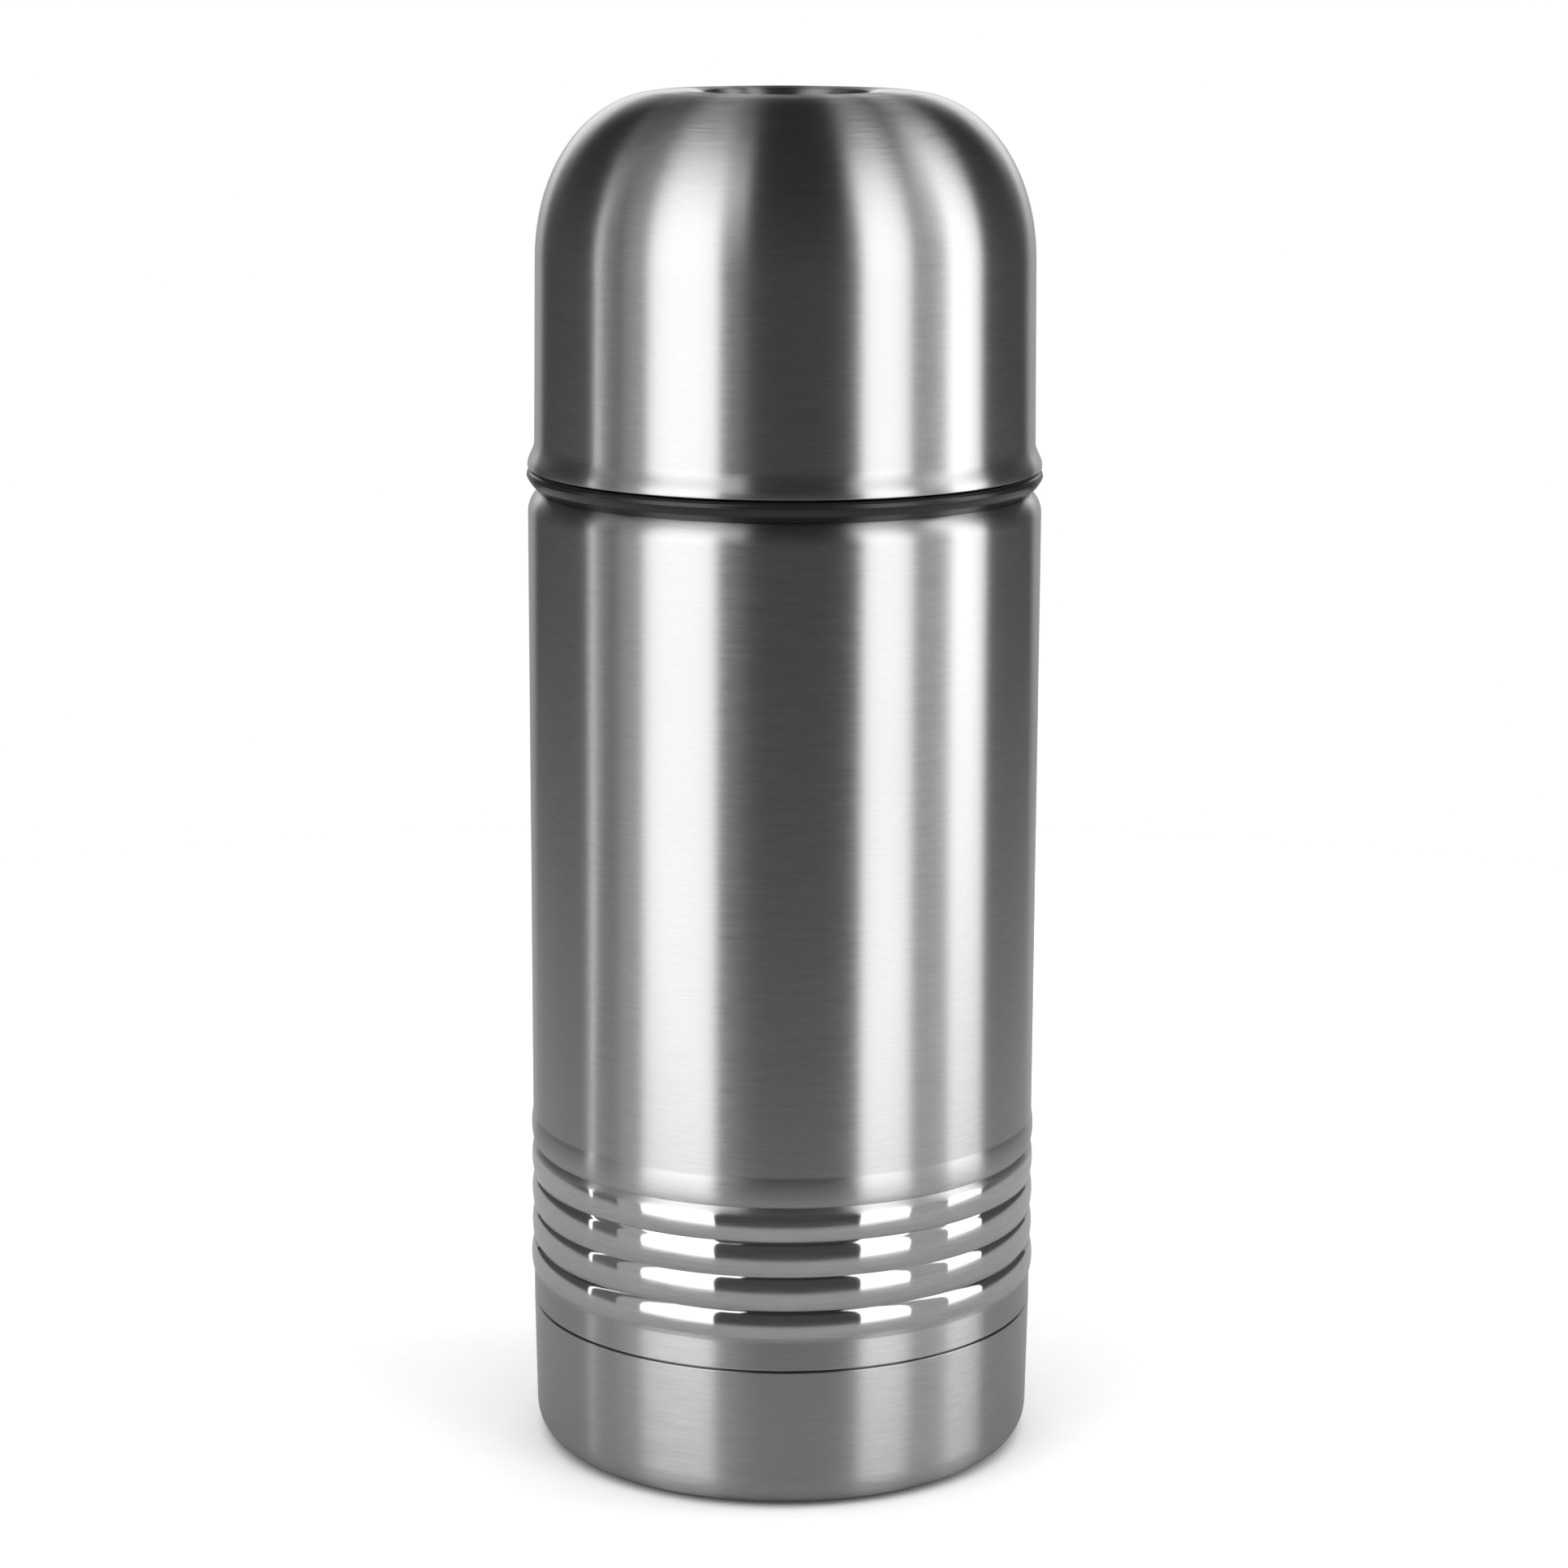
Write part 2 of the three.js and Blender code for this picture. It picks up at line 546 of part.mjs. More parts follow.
const stopper = new THREE.Group();
stopper.add(
  piece('stopper_body', stopperBody(), 'blackPlastic'),
  piece('stopper_top', stopperTop(), 'blackPlastic'),
  piece('stopper_core', stopperCore(), 'foam'),
  piece('stopper_cover', stopperCover(), 'blackPlastic'),
  piece('stopper_gasket', stopperGasket(), 'silicone'),
  piece('release_tab_left', releaseTab(-1), 'greyPlastic'),
  piece('release_tab_right', releaseTab(1), 'greyPlastic'),
);

const button = new THREE.Group();
button.add(
  piece('push_button', pushButton(), 'greyPlastic'),
  piece('button_spring', buttonSpring(), 'plainSteel'),
  piece('valve_stem', valveStem(), 'blackPlastic'),
  piece('valve_seal', valveSeal(), 'silicone'),
  piece('valve_nut', valveNut(), 'blackPlastic'),
);

const cup = new THREE.Group();
cup.add(
  piece('cup_shell', cupShell(), 'brushedSteel'),
  piece('cup_liner', cupLiner(), 'blackPlastic'),
  piece('cup_seal_ring', cupSealRing(), 'silicone'),
);

stopper.add(button);
flask.add(stopper, cup);

export default flask;
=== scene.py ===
"""A half-litre steel vacuum flask: fine shapes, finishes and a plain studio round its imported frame.

Outlines are lists of (radius, height) in millimetres, anticlockwise, and meshes are in metres.
"""

import json
import math
from types import SimpleNamespace

import bmesh
import bpy
from bpy.props import FloatProperty, FloatVectorProperty, IntProperty, PointerProperty
from mathutils import Matrix, Vector


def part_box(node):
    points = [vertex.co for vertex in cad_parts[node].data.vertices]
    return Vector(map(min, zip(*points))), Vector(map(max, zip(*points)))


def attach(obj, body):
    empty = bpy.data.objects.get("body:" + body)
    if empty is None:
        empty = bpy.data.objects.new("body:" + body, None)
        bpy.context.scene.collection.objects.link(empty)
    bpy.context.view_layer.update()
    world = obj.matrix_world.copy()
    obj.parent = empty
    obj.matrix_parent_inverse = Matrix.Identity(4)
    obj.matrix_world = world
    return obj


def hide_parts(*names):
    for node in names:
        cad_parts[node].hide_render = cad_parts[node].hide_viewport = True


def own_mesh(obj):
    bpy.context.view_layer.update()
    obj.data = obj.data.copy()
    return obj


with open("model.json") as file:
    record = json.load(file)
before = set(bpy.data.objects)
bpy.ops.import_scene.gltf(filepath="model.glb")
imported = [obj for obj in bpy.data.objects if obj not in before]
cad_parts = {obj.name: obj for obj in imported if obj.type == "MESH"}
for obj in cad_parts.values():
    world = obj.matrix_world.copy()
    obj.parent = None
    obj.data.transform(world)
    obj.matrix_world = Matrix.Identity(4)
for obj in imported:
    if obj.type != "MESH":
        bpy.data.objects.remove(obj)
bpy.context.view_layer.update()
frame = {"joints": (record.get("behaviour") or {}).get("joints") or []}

bl_info = {
    "name": "Vacuum Flask",
    "version": (1, 0, 0),
    "blender": (4, 5, 0),
    "location": "View3D > Sidebar > Flask",
    "description": "Builds a steel vacuum flask with a cup and a push-button stopper",
    "category": "Object",
}

MM = 0.001
SEGMENTS = 256          # facets round the shell, the base and the cup
MEDIUM_SEGMENTS = 200   # facets round the bottle, its foil, the collar, the liner and the button
SMALL_SEGMENTS = 144    # facets round a smaller turned piece
PIN_SEGMENTS = 96       # facets round the smallest turned pieces
HOLE_SEGMENTS = 64      # facets round a drilled hole
GRIP_SEGMENTS = 360     # facets round the fluted grip
FINE_STEP = 0.2         # height of a facet where a pattern is pressed into a wall, in millimetres
COARSE_STEP = 5.0       # longest facet along a plain outline, in millimetres
SUPPORTED_LENGTH = 1.0  # a straight stretch longer than this has support points beside its ends
EDGE_SUPPORT = 0.06     # distance from an end to its support point, which keeps the flat beside it flat
SHARP = math.radians(38)    # an edge that turns more than this stays sharp
ON_WALL = 0.05 * MM     # a point this near to a threaded wall's radius is on the wall


def span(node):
    """A CAD node's bottom, top and outer radius, in millimetres."""
    low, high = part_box(node)
    return SimpleNamespace(bottom=low[2] / MM, top=high[2] / MM, radius=high[0] / MM)


# ---------- outlines ----------


def soften(corners, steps=7):
    """Rounds a closed outline's corners. Each is (radius, height) or (radius, height, fillet)."""
    points = []
    count = len(corners)
    for index, corner in enumerate(corners):
        here = Vector(corner[:2])
        fillet = corner[2] if len(corner) > 2 else 0
        before = Vector(corners[index - 1][:2]) - here
        after = Vector(corners[(index + 1) % count][:2]) - here
        half = before.angle(after) / 2
        reach = min(fillet / math.tan(half), 0.48 * before.length, 0.48 * after.length) if fillet else 0
        if reach < 1e-4 or half > math.radians(89):
            points.append(tuple(here))
            continue
        middle = (before.normalized() + after.normalized()).normalized()
        centre = here + middle * (reach / math.cos(half))
        start = here + before.normalized() * reach - centre
        end = here + after.normalized() * reach - centre
        for step in range(steps + 1):
            points.append(tuple(centre + start.slerp(end, step / steps).normalized() * start.length))
    return points


def divided(points, fine=()):
    """Adds points along straight stretches, close together in each (radius, low, high) of fine."""
    result = []
    for index, point in enumerate(points):
        here, there = Vector(point), Vector(points[(index + 1) % len(points)])
        length = (there - here).length
        result.append(tuple(here))
        if here.x == 0 and there.x == 0:
            continue
        low, high = sorted((here.y, there.y))
        if any(
            max(abs(here.x - radius), abs(there.x - radius)) < 1e-3
            and low > bottom - 1e-3
            and high < top + 1e-3
            for radius, bottom, top in fine
        ):
            parts = math.ceil(length / FINE_STEP)
            result += [tuple(here.lerp(there, part / parts)) for part in range(1, parts)]
        elif length > SUPPORTED_LENGTH:
            parts = math.ceil(length / COARSE_STEP)
            places = [part * length / parts for part in range(1, parts)]
            for place in [EDGE_SUPPORT, *places, length - EDGE_SUPPORT]:
                result.append(tuple(here.lerp(there, place / length)))
    return result


def arc(centre, size, degrees, steps=10):
    """Part of an ellipse about centre, with half-axes size, between two angles."""
    points = []
    for step in range(steps + 1):
        angle = math.radians(degrees[0] + (degrees[1] - degrees[0]) * step / steps)
        points.append((centre[0] + size[0] * math.cos(angle), centre[1] + size[1] * math.sin(angle)))
    return points


def above(level, *corners):
    """Corners whose heights are measured from a level."""
    return [(corner[0], level + corner[1], *corner[2:]) for corner in corners]


def ring(inner, outer, bottom, top, fillet=0.2):
    return [(inner, bottom, fillet), (outer, bottom, fillet), (outer, top, fillet), (inner, top, fillet)]


def disc(radius, bottom, top, fillet=0.2):
    return [(0, bottom), (radius, bottom, fillet), (radius, top, fillet), (0, top)]


# ---------- meshes ----------


def turn(name, corners, fine=(), segments=SMALL_SEGMENTS):
    """A turned piece from the corners of its outline."""
    return lathe(name, divided(soften(corners), fine), segments)


def lathe(name, outline, segments):
    """A closed turned solid. A point on the axis becomes one vertex."""
    vertices, rings = [], []
    for radius, height in outline:
        first = len(vertices)
        if radius < 1e-6:
            vertices.append((0, 0, height * MM))
            rings.append([first] * segments)
            continue
        for step in range(segments):
            angle = 2 * math.pi * step / segments
            vertices.append((radius * MM * math.cos(angle), radius * MM * math.sin(angle), height * MM))
        rings.append(list(range(first, first + segments)))
    faces = []
    for lower, upper in zip(rings, rings[1:] + rings[:1]):
        if lower[0] == lower[1] and upper[0] == upper[1]:
            continue
        for step in range(segments):
            after = (step + 1) % segments
            corners = [lower[step], lower[after], upper[after], upper[step]]
            faces.append([c for place, c in enumerate(corners) if c != corners[place - 1]])
    mesh = bpy.data.meshes.new(name)
    mesh.from_pydata(vertices, [], faces)
    return place_object(name, mesh)


def place_object(name, mesh):
    """An object at the origin with this mesh, smooth except at its sharp edges."""
    mesh.name = name
    smooth_but_sharp(mesh)
    thing = bpy.data.objects.new(name, mesh)
    bpy.context.scene.collection.objects.link(thing)
    return thing


def smooth_but_sharp(mesh):
    shape = bmesh.new()
    shape.from_mesh(mesh)
    for face in shape.faces:
        face.smooth = True
    for edge in shape.edges:
        edge.smooth = edge.calc_face_angle(0) < SHARP
    shape.to_mesh(mesh)
    shape.free()


def cut(thing, *cutters):
    """Takes the cutters out of the thing, and removes them."""
    for cutter in cutters:
        modifier = thing.modifiers.new("cut", "BOOLEAN")
        modifier.operation = "DIFFERENCE"
        modifier.solver = "EXACT"
        modifier.object = cutter
        bake_modifiers(thing)
        bpy.data.objects.remove(cutter)


def bake_modifiers(thing):
    """Turns the evaluated object into a plain mesh and removes its modifiers."""
    evaluated = thing.evaluated_get(bpy.context.evaluated_depsgraph_get())
    mesh = bpy.data.meshes.new_from_object(evaluated)
    thing.modifiers.clear()
    old = thing.data
    thing.data = mesh
    bpy.data.meshes.remove(old)
    mesh.name = thing.name
    smooth_but_sharp(mesh)


def prism(name, plan, bottom, top, bevel=0.0):
    """An anticlockwise plan in millimetres, raised between two heights, with its edges rounded."""
    shape = bmesh.new()
    face = shape.faces.new([shape.verts.new((x * MM, y * MM, bottom * MM)) for x, y in plan])
    raised = bmesh.ops.extrude_face_region(shape, geom=[face])["geom"]
    moved = [corner for corner in raised if isinstance(corner, bmesh.types.BMVert)]
    bmesh.ops.translate(shape, verts=moved, vec=(0, 0, (top - bottom) * MM))
    bmesh.ops.recalc_face_normals(shape, faces=shape.faces[:])
    if bevel:
        edges = [edge for edge in shape.edges if edge.calc_face_angle() > SHARP]
        bmesh.ops.bevel(shape, geom=edges, offset=bevel * MM, segments=4, profile=0.5, affect="EDGES")
    mesh = bpy.data.meshes.new(name)
    shape.to_mesh(mesh)
    shape.free()
    return place_object(name, mesh)


def block(name, low, high, bevel=0.0):
    """A box between two corners in millimetres, with rounded edges."""
    plan = [(low[0], low[1]), (high[0], low[1]), (high[0], high[1]), (low[0], high[1])]
    return prism(name, plan, low[2], high[2], bevel)


def dress(thing, look, body, node):
    """Gives a finished piece its finish, its body and the CAD node that it stands for."""
    thing.data.materials.clear()
    thing.data.materials.append(finish(look))
    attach(thing, body)
    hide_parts(node)


# ---------- node trees ----------


class Value:
    """A node's output. Arithmetic on it adds Math nodes to its tree."""

    def __init__(self, tree, socket):
        self.tree, self.socket = tree, socket

    def maths(self, operation, *others):
        return self.tree.add("ShaderNodeMath", {"operation": operation}, dict(enumerate([self, *others])))

    def clamped(self):
        return self.tree.add("ShaderNodeClamp", {}, {0: self})

    def output(self, name):
        """Another output of the same node."""
        return Value(self.tree, self.socket.node.outputs[name])

    def __add__(self, other):
        return self.maths("ADD", other)

    def __sub__(self, other):
        return self.maths("SUBTRACT", other)

    def __rsub__(self, other):
        return self.tree.add("ShaderNodeMath", {"operation": "SUBTRACT"}, {0: other, 1: self})

    def __mul__(self, other):
        return self.maths("MULTIPLY", other)

    def __truediv__(self, other):
        return self.maths("DIVIDE", other)

    def __lt__(self, other):
        return self.maths("LESS_THAN", other)

    def __gt__(self, other):
        return self.maths("GREATER_THAN", other)

    __radd__ = __add__
    __rmul__ = __mul__


class Tree:
    """Adds nodes to a shader or geometry node tree."""

    def __init__(self, tree):
        self.tree = tree

    def add(self, kind, settings=None, inputs=None, output=0):
        """Adds a node: its settings, then its sockets' values or links. Returns one of its outputs."""
        node = self.tree.nodes.new(kind)
        for name, setting in (settings or {}).items():
            setattr(node, name, setting)
        for key, value in (inputs or {}).items():
            if isinstance(value, Value):
                self.tree.links.new(value.socket, node.inputs[key])
            else:
                node.inputs[key].default_value = value
        return Value(self, node.outputs[output]) if node.outputs else None

    def flattened(self, place):
        return self.add("ShaderNodeVectorMath", {"operation": "MULTIPLY"}, {0: place, 1: (1.0, 1.0, 0.0)})

    def distance(self, flat):
        return self.add("ShaderNodeVectorMath", {"operation": "LENGTH"}, {0: flat}, "Value")


class GeometryTree(Tree):
    """A Geometry Nodes tree with named inputs. It changes the object's own mesh."""

    def __init__(self, name, **defaults):
        super().__init__(bpy.data.node_groups.new(name, "GeometryNodeTree"))
        sockets = self.tree.interface
        sockets.new_socket("Geometry", in_out="INPUT", socket_type="NodeSocketGeometry")
        for label, default in defaults.items():
            kind = "NodeSocketInt" if isinstance(default, int) else "NodeSocketFloat"
            sockets.new_socket(label, in_out="INPUT", socket_type=kind).default_value = default
        sockets.new_socket("Material", in_out="INPUT", socket_type="NodeSocketMaterial")
        sockets.new_socket("Geometry", in_out="OUTPUT", socket_type="NodeSocketGeometry")
        self.geometry = self.add("NodeGroupInput")

    def input(self, label):
        return self.geometry.output(label)

    def finish(self, geometry):
        realized = self.add("GeometryNodeRealizeInstances", {}, {0: geometry})
        inputs = {"Geometry": realized, "Material": self.input("Material")}
        self.add("NodeGroupOutput", {}, {0: self.add("GeometryNodeSetMaterial", {}, inputs)})

    def push_out(self, amount, selection):
        """Moves the selected points away from the axis by an amount."""
        direction = self.add("ShaderNodeVectorMath", {"operation": "NORMALIZE"}, {0: self.flat_position()})
        offset = self.add("ShaderNodeVectorMath", {"operation": "SCALE"}, {0: direction, "Scale": amount})
        inputs = {"Geometry": self.geometry, "Selection": selection, "Offset": offset}
        self.finish(self.add("GeometryNodeSetPosition", {}, inputs))

    def flat_position(self):
        return self.flattened(self.add("GeometryNodeInputPosition"))

    def cylinder_position(self):
        """(distance from the axis, turns round it from 0 to 1, height) of each point."""
        position = self.add("GeometryNodeInputPosition")
        x = self.add("ShaderNodeSeparateXYZ", {}, {0: position})
        radius = self.distance(self.flat_position())
        turns = (x.output("Y").maths("ARCTAN2", x) / (2 * math.pi)).maths("FRACT")
        return radius, turns, x.output("Z")


def rolled_ribs_tree():
    """Ribs rolled into a wall. The first and last end on the wall, and narrow valleys part the others."""
    tree = GeometryTree(
        "Rolled Ribs", Wall=0.04, Lowest=0.029, Pitch=0.005, Count=5, Crest=0.0, LowestCrest=0.0, Valley=0.0
    )
    radius, _, height = tree.cylinder_position()
    wall = tree.input("Wall")
    place = (height - tree.input("Lowest")) / tree.input("Pitch") + 0.5
    across = place.maths("FRACT") * 2 - 1
    swell = (1 - (across * 0.985).maths("POWER", 2)).maths("SQRT")
    crest = tree.input("Crest") + (tree.input("LowestCrest") - tree.input("Crest")) * (place < 1)
    rib = swell * (crest + tree.input("Valley")) - tree.input("Valley")
    at_end = (place < 0.5).maths("MAXIMUM", place > (tree.input("Count") - 0.5))
    rib = rib.maths("MAXIMUM", at_end - 1)
    within = (place > 0) * (place < tree.input("Count"))
    tree.push_out(rib * within, within * (radius > (wall - 0.1 * MM)))
    return tree.tree


def screw_thread_tree():
    """A rounded thread pressed out of the wall at one radius, fading out at its two ends."""
    tree = GeometryTree(
        "Screw Thread", Radius=0.02, Tolerance=0.0001, Start=0.0, Pitch=0.004, Turns=1.0, Height=0.0009,
        Width=0.0018,
    )
    radius, turns, height = tree.cylinder_position()
    ridge = (height - tree.input("Start")) / tree.input("Pitch") - turns
    nearest = ridge.maths("ROUND")
    distance = (ridge - nearest) * tree.input("Pitch") / (tree.input("Width") * 0.5)
    swell = (1 - distance.maths("POWER", 2)).clamped().maths("POWER", 0.7)
    along = nearest + turns
    fade = (along * 14).clamped() * ((tree.input("Turns") - along) * 14).clamped()
    near = (radius - tree.input("Radius")).maths("ABSOLUTE") < tree.input("Tolerance")
    tree.push_out(swell * fade * tree.input("Height"), near)
    return tree.tree


def grip_flutes_tree():
    """Upright scallops round a grip, fading out at their tops and bottoms."""
    tree = GeometryTree("Grip Flutes", Radius=0.03, Bottom=0.0, Top=0.01, Count=40, Depth=0.0004)
    radius, turns, height = tree.cylinder_position()
    scallop = 1 - (turns * tree.input("Count") * math.pi).maths("SINE").maths("ABSOLUTE")
    fade_length = 0.9 * MM
    fade = ((height - tree.input("Bottom")) / fade_length).clamped()
    fade = fade * ((tree.input("Top") - height) / fade_length).clamped()
    near = (radius - tree.input("Radius")).maths("ABSOLUTE") < 0.15 * MM
    tree.push_out(scallop.maths("POWER", 1.5) * fade * tree.input("Depth") * -1, near)
    return tree.tree


def coil_spring_tree():
    """A wire coil with its end turns closed up."""
    tree = GeometryTree("Coil Spring", Radius=0.006, Wire=0.0005, Turns=4.5, Bottom=0.0, Top=0.01)
    length = tree.input("Top") - tree.input("Bottom")
    spiral = tree.add("GeometryNodeCurveSpiral", {}, {
        "Resolution": 40, "Rotations": tree.input("Turns"), "Start Radius": tree.input("Radius"),
        "End Radius": tree.input("Radius"), "Height": length,
    })
    height = tree.add("ShaderNodeSeparateXYZ", {}, {0: tree.add("GeometryNodeInputPosition")}).output("Z")
    closing = (height / length * (2 * math.pi)).maths("SINE") * length * (-0.55 / (2 * math.pi))
    offset = tree.add("ShaderNodeCombineXYZ", {}, {"Z": closing + tree.input("Bottom")})
    shaped = tree.add("GeometryNodeSetPosition", {}, {"Geometry": spiral, "Offset": offset})
    wire = tree.add("GeometryNodeCurvePrimitiveCircle", {}, {"Resolution": 14, "Radius": tree.input("Wire")})
    mesh = tree.add("GeometryNodeCurveToMesh", {}, {0: shaped, 1: wire, "Fill Caps": True})
    tree.finish(mesh)
    return tree.tree


def work(thing, make_tree, look, **values):
    """Runs a Geometry Nodes tree on a thing and leaves a plain mesh."""
    tree = make_tree()
    modifier = thing.modifiers.new(tree.name, "NODES")
    modifier.node_group = tree
    values["Material"] = finish(look)
    for socket in tree.interface.items_tree:
        if socket.in_out == "INPUT" and socket.name in values:
            value = values[socket.name]
            modifier[socket.identifier] = float(value) if socket.socket_type == "NodeSocketFloat" else value
    bake_modifiers(thing)


def thread(piece, look, radius, height, shape):
    """Presses a screw thread out of the wall at a radius, or into it where the height is negative."""
    work(piece, screw_thread_tree, look, Radius=radius * MM, Tolerance=ON_WALL, Height=height, **shape)


# ---------- finishes ----------


class Finish(Tree):
    """A material with one Principled shader, patterned on the object's own coordinates."""

    def __init__(self, name, **constants):
        self.material = bpy.data.materials.new(name)
        self.material.use_nodes = True
        super().__init__(self.material.node_tree)
        self.shader = next(node for node in self.tree.nodes if node.type == "BSDF_PRINCIPLED")
        for socket, value in constants.items():
            self.shader.inputs[socket.replace("_", " ")].default_value = value
        self.place = self.add("ShaderNodeTexCoord", output="Object")

    def vary(self, socket, value):
        self.tree.links.new(value.socket, self.shader.inputs[socket])

    def noise(self, scale, detail=2.0, vector=None, roughness=0.5):
        inputs = {"Vector": vector or self.place, "Scale": scale, "Detail": detail, "Roughness": roughness}
        return self.add("ShaderNodeTexNoise", {}, inputs)

    def mixed(self, amount, first, second):
        """A colour between two colours."""
        return self.add("ShaderNodeMix", {"data_type": "RGBA"}, {0: amount, 6: first, 7: second}, 2)

    def bump(self, height, distance, strength=1.0):
        inputs = {"Height": height, "Distance": distance, "Strength": strength}
        self.vary("Normal", self.add("ShaderNodeBump", {}, inputs))

    def brushing(self, fine, along, slope):
        """Streaks round the axis. slope adds the radius to the height, so a dome's streaks stay rings."""
        x = self.add("ShaderNodeSeparateXYZ", {}, {0: self.place})
        radius = self.distance(self.flattened(self.place))
        profile = (x.output("Z") + radius * slope) * fine
        inputs = {"X": x * along, "Y": x.output("Y") * along, "Z": profile}
        return self.noise(1.0, 3.0, self.add("ShaderNodeCombineXYZ", {}, inputs), 0.6)


def shade(colour, factor=1.0):
    return (*(part * factor for part in colour), 1.0)


def brushed_steel(name, colour, slope=0.0, polished=None):
    """Steel brushed round the axis. Between the two heights in polished it is smoother."""
    steel = Finish(name, Metallic=1.0, Anisotropic=1.0, Anisotropic_Rotation=0.25)
    streaks = steel.brushing(5200.0, 420.0, slope)
    broad = steel.brushing(2200.0, 160.0, slope)
    patina = steel.noise(28.0, 3.0)
    tone = streaks * 0.4 + broad * 0.6
    steel.vary("Base Color", steel.mixed(tone, shade(colour, 0.72), shade(colour, 1.24)))
    roughness = 0.225 + streaks * 0.07 + broad * 0.13 + patina * 0.03
    depth = streaks
    if polished:
        height = steel.add("ShaderNodeSeparateXYZ", {}, {0: steel.place}).output("Z")
        low, high = polished
        blend = 0.8 * MM
        shine = ((height - low) / blend).clamped() * ((high - height) / blend).clamped()
        roughness = roughness * (1 - shine * 0.68)
        depth = streaks * (1 - shine * 0.7)
    steel.vary("Roughness", roughness)
    steel.bump(depth, 0.0015 * MM, 0.3)
    return steel.material


def drawn_steel(name, colour):
    """Pressed and electropolished steel, with faint drawing rings and soft handling marks."""
    steel = Finish(name, Metallic=1.0, Anisotropic=0.5, Anisotropic_Rotation=0.25)
    rings = steel.brushing(2600.0, 90.0, 1.0)
    marks = steel.noise(130.0, 4.0)
    steel.vary("Base Color", steel.mixed(marks, shade(colour, 0.92), shade(colour, 1.04)))
    steel.vary("Roughness", 0.2 + rings * 0.1 + marks * 0.08)
    steel.bump(rings, 0.003 * MM, 0.3)
    return steel.material


def moulded_plastic(name, colour, roughness, grain, grain_depth):
    """Moulded plastic: a fine mould texture and slight sink marks."""
    plastic = Finish(name, IOR=1.5)
    texture = plastic.noise(grain, 3.0)
    sink = plastic.noise(55.0, 2.0)
    plastic.vary("Base Color", plastic.mixed(sink, shade(colour, 0.85), shade(colour, 1.2)))
    plastic.vary("Roughness", roughness + (texture - 0.5) * 0.12 + (sink - 0.5) * 0.06)
    plastic.bump(texture + sink * 3, grain_depth, 0.5)
    return plastic.material


def silicone_rubber(name, colour):
    """Translucent white silicone with a satin skin."""
    rubber = Finish(name, IOR=1.43, Subsurface_Weight=0.15, Subsurface_Scale=0.6 * MM)
    skin = rubber.noise(900.0, 3.0)
    cloud = rubber.noise(140.0, 2.0)
    rubber.vary("Base Color", rubber.mixed(cloud, shade(colour, 0.93), shade(colour, 1.03)))
    rubber.vary("Roughness", 0.42 + skin * 0.14)
    rubber.bump(skin, 0.01 * MM, 0.4)
    return rubber.material


def cell_foam(name, colour):
    """Closed-cell foam: small round cells with thin walls."""
    foam = Finish(name, Roughness=0.95)
    cells = foam.add("ShaderNodeTexVoronoi", {}, {"Vector": foam.place, "Scale": 1400.0})
    foam.vary("Base Color", foam.mixed(cells, shade(colour, 0.72), shade(colour, 1.05)))
    foam.bump(cells, 0.12 * MM, 0.7)
    return foam.material


def creased_foil(name, colour):
    """Bright metal foil with fine creases."""
    foil = Finish(name, Metallic=1.0)
    inputs = {"Vector": foil.place, "Scale": 160.0}
    creases = foil.add("ShaderNodeTexVoronoi", {"feature": "DISTANCE_TO_EDGE"}, inputs)
    film = foil.noise(90.0, 4.0)
    foil.vary("Base Color", foil.mixed(film, shade(colour, 0.85), shade(colour, 1.1)))
    foil.vary("Roughness", 0.22 + film * 0.16)
    foil.bump((creases * 6).clamped(), 0.08 * MM, 0.6)
    return foil.material


def dull_metal(name, colour, metallic, roughness):
    """Cast or pressed dull metal with a grainy skin."""
    metal = Finish(name, Metallic=metallic)
    grains = metal.noise(1500.0, 3.0)
    metal.vary("Base Color", metal.mixed(grains, shade(colour, 0.75), shade(colour, 1.2)))
    metal.vary("Roughness", roughness + (grains - 0.5) * 0.25)
    metal.bump(grains, 0.03 * MM, 0.6)
    return metal.material


# ---------- sizes and colours ----------


def length(name, description, default):
    return FloatProperty(name=name, description=description, default=default, unit="LENGTH", precision=5)


def colour(name, description, *default):
    return FloatVectorProperty(
        name=name, description=description, default=default, subtype="COLOR", min=0, max=1
    )


class FlaskSizes(bpy.types.PropertyGroup):
    """Sizes of the fine shapes. Overall places come from the frame."""

    shoulder: length("Shoulder", "Radius of the rounded shoulder", 0.0042)
    rib_count: IntProperty(name="Ribs", description="Number of rolled ribs", default=5, min=1)
    rib_pitch: length("Rib Pitch", "Height of one rib", 0.00543)
    rib_lowest: length("Lowest Rib", "Height of the middle of the lowest rib", 0.02925)
    rib_crest: length("Rib Crest", "How far a rib stands out of the wall", 0.00025)
    rib_lowest_crest: length("Lowest Crest", "How far the lowest rib stands out of the wall", 0.00042)
    rib_valley: length("Rib Valley", "How deep the valleys are pressed into the wall", 0.0005)
    thread_height: length("Thread Height", "How far the outside threads stand out", 0.0009)
    flute_count: IntProperty(name="Flutes", description="Number of flutes round the grip", default=48, min=3)
    flute_depth: length("Flute Depth", "Depth of the grip's flutes", 0.00045)
    spring_turns: FloatProperty(name="Spring Turns", description="Turns of the button spring", default=5.5)


